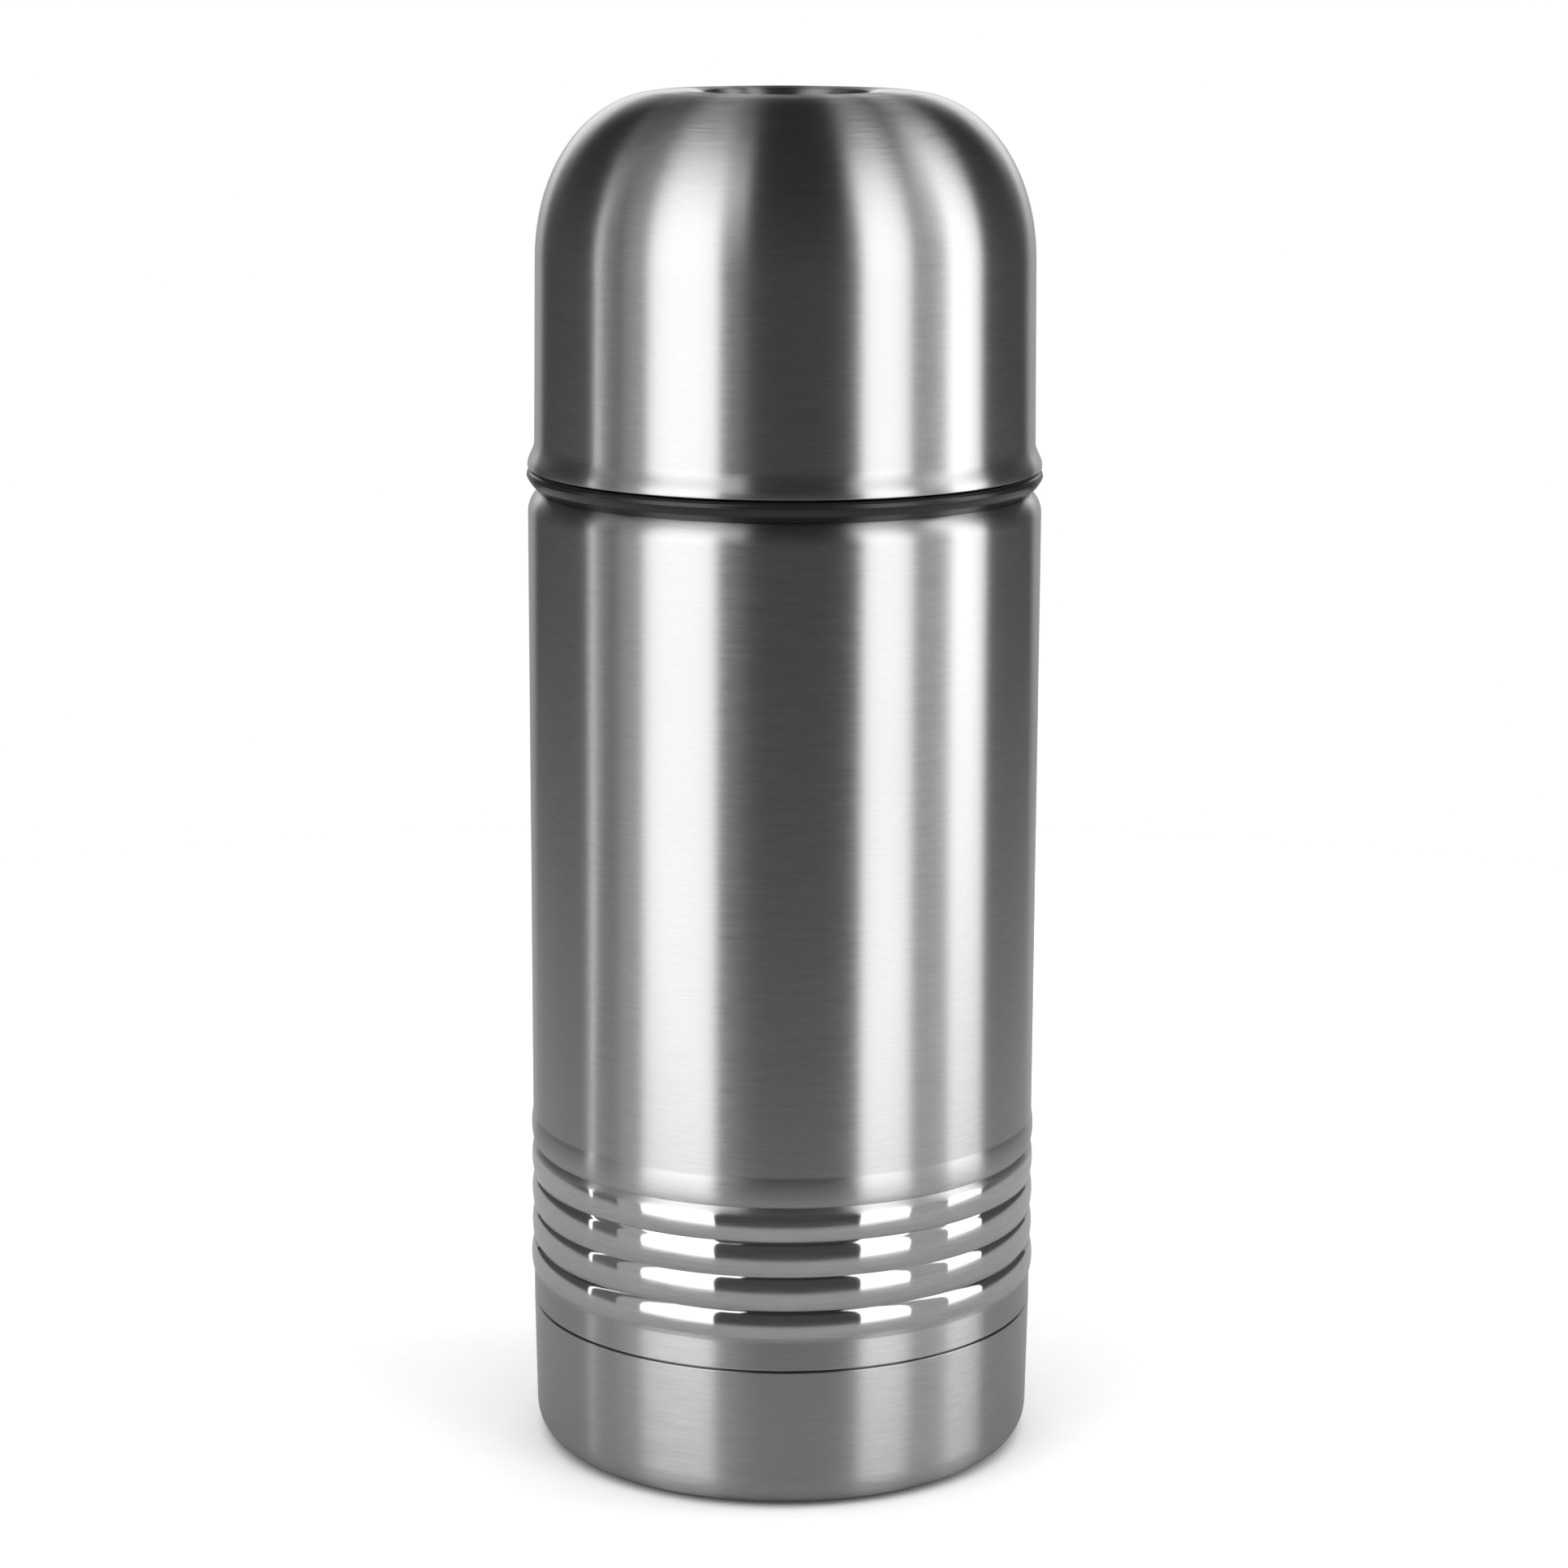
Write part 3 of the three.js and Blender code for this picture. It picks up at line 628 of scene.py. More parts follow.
class FlaskColours(bpy.types.PropertyGroup):
    """Colours of the finishes."""

    steel: colour("Steel", "Stainless steel", 0.56, 0.56, 0.565)
    black: colour("Black Plastic", "Moulded parts", 0.008, 0.008, 0.009)
    grey: colour("Grey Plastic", "Button and release tabs", 0.09, 0.095, 0.1)
    silicone: colour("Silicone", "Seals", 0.7, 0.71, 0.69)
    foam: colour("Foam", "Cushion and insulation", 0.8, 0.77, 0.7)
    copper: colour("Copper Foil", "Foil round the bottle", 0.8, 0.42, 0.27)
    solder: colour("Solder", "Vacuum seal", 0.42, 0.42, 0.43)
    getter: colour("Getter", "Gas absorbing pill", 0.06, 0.06, 0.065)


class FlaskStudio(bpy.types.PropertyGroup):
    """Camera and light."""

    camera_distance: length("Camera Distance", "From the flask's axis to the camera", 0.6432)
    camera_height: length("Camera Height", "Height of the camera above the floor", 0.24184)
    camera_tilt: FloatProperty(
        name="Tilt", description="How far the camera looks down", default=math.radians(11.94), subtype="ANGLE"
    )
    lens: FloatProperty(name="Lens", description="Focal length", default=95.33, unit="CAMERA")
    strip_distance: length("Light Distance", "From the flask's axis to the strip lights", 0.9)
    strip_bottom: length("Light Bottom", "Height of the lower ends of the strip lights", -0.4)
    strip_top: length("Light Top", "Height of the upper ends of the strip lights", 1.2)
    table_radius: length("Table Radius", "Radius of the pale table that the steel reflects", 0.32)
    table_front: length("Table Front", "From the flask's axis to the front edge of the table", 0.155)


POLISHED = (27.3 * MM, 47.6 * MM)   # heights between which the ribs are polished
MAKERS = {              # each finish's maker, its colour, and the maker's other values
    "shell_steel": (brushed_steel, "steel", -1.0, POLISHED),
    "base_steel": (brushed_steel, "steel", 1.0),
    "cup_steel": (brushed_steel, "steel", -1.0),
    "drawn_steel": (drawn_steel, "steel"),
    "black_plastic": (moulded_plastic, "black", 0.2, 1800.0, 0.01 * MM),
    "grey_plastic": (moulded_plastic, "grey", 0.42, 1500.0, 0.03 * MM),
    "silicone": (silicone_rubber, "silicone"),
    "foam": (cell_foam, "foam"),
    "copper": (creased_foil, "copper"),
    "solder": (dull_metal, "solder", 1.0, 0.45),
    "getter": (dull_metal, "getter", 0.3, 0.8),
}


def finish(name):
    """A finish of that name, made the first time it is asked for."""
    maker, tint, *values = MAKERS[name]
    made = bpy.data.materials.get(name)
    return made or maker(name, getattr(bpy.context.scene.flask_colours, tint), *values)


# ---------- shell and base ----------

SHEET = 0.5             # steel sheet of the shell
THIN = 0.4              # steel sheet of the other pressings
GAP = 0.3               # clearance between two pieces
STEP = 1.2              # how far the shell is stepped in behind the base cap
RIB_BACK = 1.0          # how far the inside of the wall lies behind the ribs
NECK_INNER, NECK_OUTER, NECK_CORNER = 25.0, 25.6, 1.6
FOOT_CORNER = (3.4, 4.75)


def make_outer_shell(sizes):
    shell, base = span("outer_shell"), span("base_cap")
    wall, step = base.radius, base.top + GAP
    pitch, lowest = sizes.rib_pitch / MM, sizes.rib_lowest / MM
    ribs_bottom, ribs_top = lowest - pitch / 2, lowest + pitch * (sizes.rib_count - 0.5)
    radius = sizes.shoulder / MM
    top = span("collar_gasket").bottom - GAP
    neck_centre = (NECK_OUTER + NECK_CORNER, top + NECK_CORNER)

    def upper(inset):
        shoulder = arc((wall - radius, top - radius), (radius - inset, radius - inset), (0, 90), 28)
        return shoulder + arc(neck_centre, (NECK_CORNER + inset, NECK_CORNER + inset), (270, 180), 10)

    outside = [
        (wall - STEP, shell.bottom, 0.1), (wall - STEP, step), (wall, step, 0.2), (wall, ribs_bottom),
        (wall, ribs_top), *upper(0), (NECK_OUTER, shell.top, 0.1),
    ]
    inside = [
        (wall - STEP - SHEET, shell.bottom, 0.1), (wall - STEP - SHEET, step + SHEET, 0.3),
        (wall - RIB_BACK, step + 2 * SHEET, 0.5), (wall - RIB_BACK, ribs_top, 0.5),
        (wall - SHEET, ribs_top + 1, 0.5), *upper(SHEET), (NECK_INNER, shell.top, 0.1),
    ]
    piece = turn("shell", outside + inside[::-1], [(wall, ribs_bottom, ribs_top)], SEGMENTS)
    work(
        piece, rolled_ribs_tree, "shell_steel", Wall=wall * MM, Lowest=sizes.rib_lowest,
        Pitch=sizes.rib_pitch, Count=sizes.rib_count, Crest=sizes.rib_crest,
        LowestCrest=sizes.rib_lowest_crest, Valley=sizes.rib_valley,
    )
    dress(piece, "shell_steel", "flask", "outer_shell")


def make_base_cap():
    base = span("base_cap")
    foot = base.radius - 0.32
    dimple, depth = 29.0, 1.2
    width, height = FOOT_CORNER

    def lower(inset):
        corner = arc((foot - width, height), (width - inset, height - inset), (-90, 0), 28)
        return [(dimple - 1 + inset, depth + inset, 0.6), (dimple + inset, inset, 0.6), *corner]

    outside = [(0, depth), *lower(0), (base.radius, base.top, 0.15)]
    inside = [(0, depth + THIN), *lower(THIN), (base.radius - THIN, base.top, 0.1)]
    piece = turn("base", outside + inside[::-1], segments=SEGMENTS)
    dress(piece, "base_steel", "flask", "base_cap")


def make_bottom_plate():
    plate = span("bottom_plate")
    dome, hole = 8.0, 1.6
    dome_bottom = plate.top - SHEET
    flat = dome_bottom - 3.2
    lower = [
        (hole, dome_bottom, 0.1), (dome, dome_bottom, 1.5), (dome + 3, flat, 1.5),
        (plate.radius - SHEET, flat, 0.6), (plate.radius - SHEET, plate.bottom, 0.1),
    ]
    upper = [
        (plate.radius, plate.bottom, 0.1), (plate.radius, flat + SHEET, 1.0), (dome + 3.3, flat + SHEET, 1.5),
        (dome + 0.3, plate.top, 1.5), (hole, plate.top, 0.1),
    ]
    dress(turn("floor_plate", lower + upper), "drawn_steel", "flask", "bottom_plate")


def make_seal_plug():
    plug = span("seal_plug")
    under = span("bottom_plate").top - SHEET - GAP
    corners = [
        (0, plug.bottom), (plug.radius - 0.6, plug.bottom + 0.1, 0.6), (plug.radius, under, 0.3),
        (1.2, under, 0.15), (1.2, plug.top, 0.5), (0, plug.top),
    ]
    dress(turn("vacuum_seal", corners, segments=PIN_SEGMENTS), "solder", "flask", "seal_plug")


def make_getter():
    holder, pill = span("getter_holder"), span("getter_pill")
    inner = holder.radius - THIN
    corners = [
        (0, holder.bottom), (holder.radius, holder.bottom, 0.7), (holder.radius, holder.top, 0.1),
        (inner, holder.top, 0.1), (inner, holder.bottom + THIN, 0.4), (0, holder.bottom + THIN),
    ]
    dress(turn("getter_cup", corners, segments=PIN_SEGMENTS), "drawn_steel", "flask", "getter_holder")
    tablet = turn("getter_tablet", disc(pill.radius, pill.bottom, pill.top, 0.5), segments=PIN_SEGMENTS)
    dress(tablet, "getter", "flask", "getter_pill")


def make_base_cushion():
    pad = span("base_cushion")
    crown = 0.6
    middle = (pad.bottom + pad.top) / 2
    edge = arc((pad.radius - 2.5, middle), (2.5, middle - pad.bottom - crown / 2), (-90, 90), 24)
    face = pad.radius * 0.6
    lower = [(0, pad.bottom), (face, pad.bottom + 0.1, 20)]
    piece = turn("cushion", [*lower, *edge, (face, pad.top, 20), (0, pad.top)])
    dress(piece, "foam", "flask", "base_cushion")


# ---------- inner bottle ----------

SEAL_BORE, BORE = 23.3, 24.0
BOTTLE_CORNER = 8.0
BOTTLE_SHOULDER, BOTTLE_NECK, MOUTH_STEP = 141.0, 151.8, 155.6
LIP_RADIUS, LIP_THICKNESS = 25.8, 1.0
BOTTLE_GROOVE, LINER_GROOVE = -0.7 * MM, -0.6 * MM  # heights of the threads pressed into a wall
STOPPER_THREAD = {"Start": 158 * MM, "Pitch": 4 * MM, "Turns": 1.25, "Width": 1.9 * MM}


def make_inner_bottle():
    bottle = span("inner_bottle")
    lip_bottom = bottle.top - LIP_THICKNESS

    def wall(inset):
        radius, neck = bottle.radius - inset, SEAL_BORE + THIN - inset
        corner_centre = (bottle.radius - BOTTLE_CORNER, bottle.bottom + BOTTLE_CORNER)
        corner = arc(corner_centre, (BOTTLE_CORNER - inset, BOTTLE_CORNER - inset), (-90, 0), 20)
        rise = BOTTLE_NECK - BOTTLE_SHOULDER - inset
        shoulder = arc((neck, BOTTLE_SHOULDER), (radius - neck, rise), (0, 78), 28)
        return [
            *corner, *shoulder, (neck, BOTTLE_NECK + 1 - inset, 1.0), (neck, MOUTH_STEP, 0.3),
            (BORE + THIN - inset, MOUTH_STEP + 0.8, 0.3),
        ]

    outside = [
        (0, bottle.bottom), *wall(0), (BORE + THIN, lip_bottom, 0.3), (LIP_RADIUS, lip_bottom, 0.2),
        (LIP_RADIUS, bottle.top, 0.45),
    ]
    inside = [(0, bottle.bottom + THIN), *wall(THIN), (BORE, bottle.top, 0.3)]
    piece = turn("bottle", outside + inside[::-1], [(BORE, MOUTH_STEP, bottle.top)], MEDIUM_SEGMENTS)
    thread(piece, "drawn_steel", BORE, BOTTLE_GROOVE, STOPPER_THREAD)
    dress(piece, "drawn_steel", "flask", "inner_bottle")


def make_foil():
    foil = span("reflective_foil")
    corners = ring(foil.radius - 0.1, foil.radius, foil.bottom, foil.top, 0)
    dress(turn("foil", corners, segments=MEDIUM_SEGMENTS), "copper", "flask", "reflective_foil")


# ---------- neck ----------

COLLAR_RADIUS, COLLAR_INNER, COLLAR_WALL = 35.0, 26.1, 1.7
CUP_THREAD = {"Start": 158.2 * MM, "Pitch": 4.5 * MM, "Turns": 1.0, "Width": 1.9 * MM}


def make_collar(sizes):
    collar = span("neck_collar")
    bottom, top, under = collar.bottom, collar.top, collar.top - COLLAR_WALL
    inner_skirt, outer_skirt = COLLAR_INNER + COLLAR_WALL, COLLAR_RADIUS - COLLAR_WALL
    corners = [
        (COLLAR_INNER, bottom, 0.2), (inner_skirt, bottom, 0.2), (inner_skirt, under, 0.4),
        (outer_skirt, under, 0.4), (outer_skirt, bottom, 0.2), (COLLAR_RADIUS, bottom, 0.2),
        (COLLAR_RADIUS, top, 1.4), (COLLAR_INNER, top, 0.4),
    ]
    piece = turn("collar", corners, [(COLLAR_RADIUS, bottom, top)], MEDIUM_SEGMENTS)
    thread(piece, "black_plastic", COLLAR_RADIUS, sizes.thread_height, CUP_THREAD)
    dress(piece, "black_plastic", "flask", "neck_collar")


def make_collar_gasket():
    gasket = span("collar_gasket")
    corners = ring(gasket.radius - 4, gasket.radius, gasket.bottom, gasket.top, 0.4)
    dress(turn("collar_seal", corners), "silicone", "flask", "collar_gasket")


# ---------- cup ----------

CUP_WALL, WALL_TOP = 38.95, 188.14
FLARE_TOP, BEAD_HEIGHT, BEAD_OUT = 160.8, 157.1, 1.08
DOME_CENTRE, DOME_WIDTH, DOME_HEIGHT, DOME_POWER = 18.34, 20.3, 26.12, 2.087
CREST_OUTER, LAND_OUTER, LAND_INNER, EDGE, EDGE_DROP = 20.7, 16.8, 15.2, 13.9, 0.25
RECESS, RECESS_DEPTH = 11.2, 2.6
LINER_WALL, LINER_TIP, FLANGE_RADIUS, FLANGE_HEIGHT = 1.2, 38.5, 40.18, 3.15
LINER_FLAT, LINER_THREAD_TOP = 17.4, 164.0


def dome(inset, inner_radius, steps=56):
    """The cup's dome: part of a superellipse, from the top of the wall in to a radius."""
    width, height = DOME_WIDTH - inset, DOME_HEIGHT - inset
    last = math.acos(((inner_radius - DOME_CENTRE) / width) ** (DOME_POWER / 2))
    points = []
    for step in range(steps + 1):
        angle = last * step / steps
        across, up = (part ** (2 / DOME_POWER) for part in (math.cos(angle), math.sin(angle)))
        points.append((DOME_CENTRE + width * across, WALL_TOP + height * up))
    return points


def cup_wall(inset, rim):
    """The cup's bead, flare, wall and dome."""
    edge_centre = (CUP_WALL + BEAD_OUT - THIN / 2, rim + THIN / 2)
    bead = arc(edge_centre, (THIN / 2, THIN / 2), (-100, -180) if inset else (-90, 0), 6)
    flare = []
    for step in range(1, 15):
        share = 1 - step / 15
        eased = share ** 1.15
        out = BEAD_OUT * eased * eased * (3 - 2 * eased)
        flare.append((CUP_WALL + out - inset, FLARE_TOP - (FLARE_TOP - BEAD_HEIGHT) * share))
    return [*bead, *flare, (CUP_WALL - inset, FLARE_TOP), *dome(inset, CREST_OUTER)]


def make_cup_shell():
    cup = span("cup_shell")

    def crown(drop, grow):
        return above(
            cup.top - drop, (LAND_OUTER, 0, 1.5), (LAND_INNER, 0, 0.8), (EDGE + grow, -EDGE_DROP, 0.9),
            (RECESS + grow, -RECESS_DEPTH, 2.0), (0, -RECESS_DEPTH),
        )

    outside = [*cup_wall(0, cup.bottom), *crown(0, 0)]
    inside = [*cup_wall(THIN, cup.bottom), *crown(THIN, THIN / 3)]
    piece = turn("cup", outside + inside[::-1], segments=SEGMENTS)
    dress(piece, "cup_steel", "cup", "cup_shell")


def make_cup_liner():
    liner = span("cup_liner")
    ceiling = span("cup_shell").top - RECESS_DEPTH - THIN - GAP
    outer, inner = THIN + GAP, THIN + GAP + LINER_WALL
    inner_radius = CUP_WALL - inner
    lowest_ceiling = ceiling - LINER_WALL

    def under(inset, limit):
        return [point for point in dome(inset, CREST_OUTER + 1) if point[1] < limit - 0.2]

    flange = above(
        liner.bottom, (inner_radius, 1, 0.3), (LINER_TIP - 0.8, 0.75, 0.3), (LINER_TIP - 0.2, 0, 0.1),
        (LINER_TIP, 0, 0.1), (FLANGE_RADIUS - 0.8, 0.85, 1.5), (FLANGE_RADIUS - 0.25, 1.65, 1.5),
    )
    flange += above(
        liner.bottom + FLANGE_HEIGHT, (FLANGE_RADIUS, -0.95, 0.12), (FLANGE_RADIUS - 0.1, -0.4, 0.4),
        (FLANGE_RADIUS - 0.5, 0, 0.3), (CUP_WALL - outer, 0, 0.2),
    )
    outside = [*flange, *under(outer, ceiling), (LINER_FLAT, ceiling, 2), (0, ceiling)]
    inside = [
        (inner_radius, LINER_THREAD_TOP), *under(inner, lowest_ceiling),
        (LINER_FLAT - 1, lowest_ceiling, 2), (0, lowest_ceiling),
    ]
    threaded = (inner_radius, liner.bottom, LINER_THREAD_TOP)
    piece = turn("cup_inside", outside + inside[::-1], [threaded], MEDIUM_SEGMENTS)
    thread(piece, "black_plastic", inner_radius, LINER_GROOVE, CUP_THREAD)
    dress(piece, "black_plastic", "cup", "cup_liner")


def make_cup_seal_ring():
    seal = span("cup_seal_ring")
    corners = ring(seal.radius - 0.6, seal.radius, seal.bottom, seal.top, 0.15)
    dress(turn("cup_seal", corners), "silicone", "cup", "cup_seal_ring")


# ---------- stopper ----------

GRIP_RADIUS, GRIP_WALL = 29.5, 1.6
PLUG_RADIUS, SEAT, SEAT_TOP, PLUG_WALL = 21.8, 20.4, 155.5, 1.4
TUBE, TUBE_WALL = 12.5, 1.3
STEM_RADIUS = 2.3
WEB_TOP, WEB_THICKNESS, HUB, FLOW_HOLES, HOLE_SPAN = 168.4, 1.8, 8.0, 3, 92
SLOT_WIDTH, SLOT_BOTTOM, SLOT_TOP = 16.0, 169.0, 172.4
BUTTON_HOLE, GUIDE_BOTTOM = 13.0, 176.8
SEAT_BORE, COVER_THICKNESS = 9.0, 1.8


def flow_hole(index):
    """A cutter for one of the arc-shaped holes round the hub."""
    middle = 360 * (index + 0.25) / FLOW_HOLES
    first, last = middle - HOLE_SPAN / 2, middle + HOLE_SPAN / 2
    outer = arc((0, 0), (TUBE - 0.2, TUBE - 0.2), (first, last), 20)
    inner = arc((0, 0), (HUB, HUB), (last, first), 20)
    return prism("hole", outer + inner, WEB_TOP - WEB_THICKNESS - 1.5, WEB_TOP + 1.5, 0.9)


def flute(piece, sizes, bottom, top):
    work(
        piece, grip_flutes_tree, "black_plastic", Radius=GRIP_RADIUS * MM, Bottom=bottom * MM,
        Top=top * MM, Count=sizes.flute_count, Depth=sizes.flute_depth,
    )


def make_stopper_body(sizes):
    body = span("stopper_body")
    web_bottom = WEB_TOP - WEB_THICKNESS
    grip_bottom, guide, skirt = web_bottom + 0.5, STEM_RADIUS + GAP, SEAT - PLUG_WALL
    grip_inner = GRIP_RADIUS - GRIP_WALL
    bottom, tube_outer, chamber_top = body.bottom, TUBE + TUBE_WALL, web_bottom - 0.5
    corners = [
        (guide, web_bottom, 0.2), (TUBE, web_bottom, 0.3), (TUBE, bottom, 0.2), (tube_outer, bottom, 0.2),
        (tube_outer, chamber_top, 0.3), (skirt, chamber_top, 0.3), (skirt, bottom, 0.2), (SEAT, bottom, 0.2),
        (SEAT, SEAT_TOP, 0.2), (PLUG_RADIUS, SEAT_TOP + 0.4, 0.3), (PLUG_RADIUS, grip_bottom, 0.5),
        (GRIP_RADIUS, grip_bottom, 0.9), (GRIP_RADIUS, body.top, 0.15), (grip_inner, body.top, 0.1),
        (grip_inner, WEB_TOP, 0.6), (guide, WEB_TOP, 0.2),
    ]
    fine = [(PLUG_RADIUS, SEAT_TOP, grip_bottom), (GRIP_RADIUS, grip_bottom, body.top)]
    piece = turn("stopper", corners, fine, GRIP_SEGMENTS)
    thread(piece, "black_plastic", PLUG_RADIUS, sizes.thread_height, STOPPER_THREAD)
    flute(piece, sizes, grip_bottom + 0.9, body.top + 1)
    half, reach = SLOT_WIDTH / 2, GRIP_RADIUS + 1
    slot = block("slot", (-half, -reach, SLOT_BOTTOM), (half, reach, SLOT_TOP), 0.6)
    cut(piece, slot, *(flow_hole(index) for index in range(FLOW_HOLES)))
    dress(piece, "black_plastic", "stopper", "stopper_body")


def make_stopper_top(sizes):
    top = span("stopper_top")
    tab = span("release_tab_right")
    half_window = 6.5
    shoulder = top.top - 4.4
    hole, sleeve, inner = BUTTON_HOLE, BUTTON_HOLE + GRIP_WALL, GRIP_RADIUS - GRIP_WALL
    corners = [
        (hole, GUIDE_BOTTOM, 0.2), (sleeve, GUIDE_BOTTOM, 0.2), (sleeve, top.top - 1.9, 0.3),
        (GRIP_RADIUS - 4.3, top.top - 2.3, 1.5), (inner, shoulder - 0.5, 1), (inner, top.bottom, 0.1),
        (GRIP_RADIUS, top.bottom, 0.15), (GRIP_RADIUS, shoulder, 2),
        *above(
            top.top, (GRIP_RADIUS - 0.9, -2.4, 1.5), (GRIP_RADIUS - 3, -0.8, 2.5),
            (GRIP_RADIUS - 7.5, -0.2, 3), (hole + 1.2, 0, 0.3), (hole + 0.5, -0.5, 0.3), (hole, -0.6, 0.2),
        ),
    ]
    piece = turn("stopper_cap", corners, [(GRIP_RADIUS, top.bottom, shoulder)], GRIP_SEGMENTS)
    flute(piece, sizes, top.bottom - 1, shoulder - 0.3)
    near, far = inner - 2, GRIP_RADIUS + 1
    low, high = tab.bottom - GAP, tab.top + GAP
    left = block("window", (-far, -half_window, low), (-near, half_window, high), 0.4)
    right = block("window", (near, -half_window, low), (far, half_window, high), 0.4)
    cut(piece, left, right)
    dress(piece, "black_plastic", "stopper", "stopper_top")


def make_stopper_core():
    core = span("stopper_core")
    inner = TUBE + TUBE_WALL + GAP
    piece = turn("insulation", ring(inner, core.radius, core.bottom, core.top, 0.6))
    dress(piece, "foam", "stopper", "stopper_core")


def make_stopper_cover():
    cover = span("stopper_cover")
    top = span("stopper_body").bottom - 0.5
    spigot = TUBE - GAP
    bottom = top - COVER_THICKNESS
    corners = [
        (SEAT_BORE, cover.bottom, 0.2), (SEAT_BORE + 1.2, cover.bottom, 0.3), (SEAT_BORE + 1.8, bottom, 0.2),
        (cover.radius, bottom, 0.6), (cover.radius, top, 0.3), (spigot, top, 0.1), (spigot, cover.top, 0.2),
        (spigot - 1, cover.top, 0.2), (spigot - 1, top, 0.3), (SEAT_BORE, top - 0.4, 0.2),
    ]
    dress(turn("plug_cover", corners), "black_plastic", "stopper", "stopper_cover")


def make_stopper_gasket():
    gasket = span("stopper_gasket")
    waist, inner = gasket.radius - 0.95, SEAT + GAP

    def lip(middle):
        outer = gasket.radius
        return above(middle, (waist, -0.9, 0.2), (outer, -0.3, 0.25), (outer, 0.3, 0.25), (waist, 0.9, 0.2))

    corners = [
        (inner, gasket.bottom, 0.1), (waist, gasket.bottom, 0.1), *lip(gasket.bottom + 0.95 + 0.02),
        *lip(gasket.top - 0.95 - 0.02), (waist, gasket.top, 0.1), (inner, gasket.top, 0.1),
    ]
    dress(turn("plug_seal", corners), "silicone", "stopper", "stopper_gasket")


# ---------- button, valve and tabs ----------

BUTTON_RADIUS, BUTTON_WALL, BUTTON_CROWN, BOSS, BUTTON_SKIRT = 12.4, 1.4, 3.2, 3.8, 175.0


def make_push_button():
    button, stem = span("push_button"), span("valve_stem")
    bore = STEM_RADIUS + GAP
    socket = stem.top + GAP
    grooves = []
    for radius in (8.6, 7.0, 5.4):
        level = button.top - 0.5 * (radius / BUTTON_RADIUS) ** 2
        grooves += [(radius + 0.35, level, 0.1), (radius, level - 0.25, 0.15), (radius - 0.35, level, 0.1)]
    under, inner, lip = button.top - BUTTON_CROWN, BUTTON_RADIUS - BUTTON_WALL, BUTTON_SKIRT + BUTTON_WALL
    corners = [
        (bore, button.bottom, 0.1), (BOSS, button.bottom, 0.3), (BOSS, under, 0.6), (inner, under, 0.6),
        (inner, BUTTON_SKIRT, 0.2), (button.radius, BUTTON_SKIRT, 0.3), (button.radius, lip, 0.2),
        (BUTTON_RADIUS, lip, 0.2), (BUTTON_RADIUS, button.top - 1.2, 1.1),
        (BUTTON_RADIUS - 2, button.top - 0.3, 1.5), *grooves, (3, button.top, 2), (0, button.top),
        (0, socket), (bore, socket, 0.2),
    ]
    dress(turn("button", corners, segments=MEDIUM_SEGMENTS), "grey_plastic", "button", "push_button")


def make_spring(sizes):
    """The coil stands on the web, under the button's crown."""
    wire, radius = 0.5, 6.2
    bottom = WEB_TOP + GAP + wire
    top = span("push_button").top - BUTTON_CROWN - GAP - wire
    mesh = bpy.data.meshes.new("spring")
    mesh.from_pydata([(0, 0, bottom * MM)], [], [])
    piece = place_object("spring", mesh)
    work(
        piece, coil_spring_tree, "drawn_steel", Radius=radius * MM, Wire=wire * MM,
        Turns=sizes.spring_turns, Bottom=bottom * MM, Top=top * MM,
    )
    dress(piece, "drawn_steel", "stopper", "button_spring")
    height = top - bottom + 2 * wire
    press = next(joint for joint in frame["joints"] if joint["name"] == "button_press")
    keep = 1 - press["range_m"][1] / MM / height
    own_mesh(piece)


def make_valve():
    stem, seal, nut = span("valve_stem"), span("valve_seal"), span("valve_nut")
    collar_bottom = seal.top + GAP
    corners = [
        (0, stem.bottom), (STEM_RADIUS, stem.bottom, 0.5), (STEM_RADIUS, collar_bottom, 0.1),
        (stem.radius, collar_bottom, 0.3), (stem.radius, collar_bottom + 1, 0.3),
        (STEM_RADIUS, collar_bottom + 1.6, 0.5), (STEM_RADIUS, stem.top, 0.3), (0, stem.top),
    ]
    dress(turn("stem", corners, segments=PIN_SEGMENTS), "black_plastic", "button", "valve_stem")
    bore = STEM_RADIUS + GAP
    corners = [
        (bore, seal.bottom, 0.2), (seal.radius - 2.5, seal.bottom, 0.5), (seal.radius, seal.top - 0.9, 0.4),
        (seal.radius, seal.top, 0.3), (bore, seal.top, 0.2),
    ]
    dress(turn("valve_rubber", corners), "silicone", "button", "valve_seal")
    hexagon = arc((0, 0), (nut.radius, nut.radius), (0, 300), 5)
    piece = prism("nut", hexagon, nut.bottom, nut.top, 0.25)
    cut(piece, turn("bore", disc(bore, nut.bottom - 1, nut.top + 1), segments=HOLE_SEGMENTS))
    dress(piece, "black_plastic", "button", "valve_nut")


TAB_WIDTH, TAB_INNER, TAB_STOP, STOP_LENGTH, STOP_WIDTH = 12.2, 18.0, 23.4, 2.0, 16.2


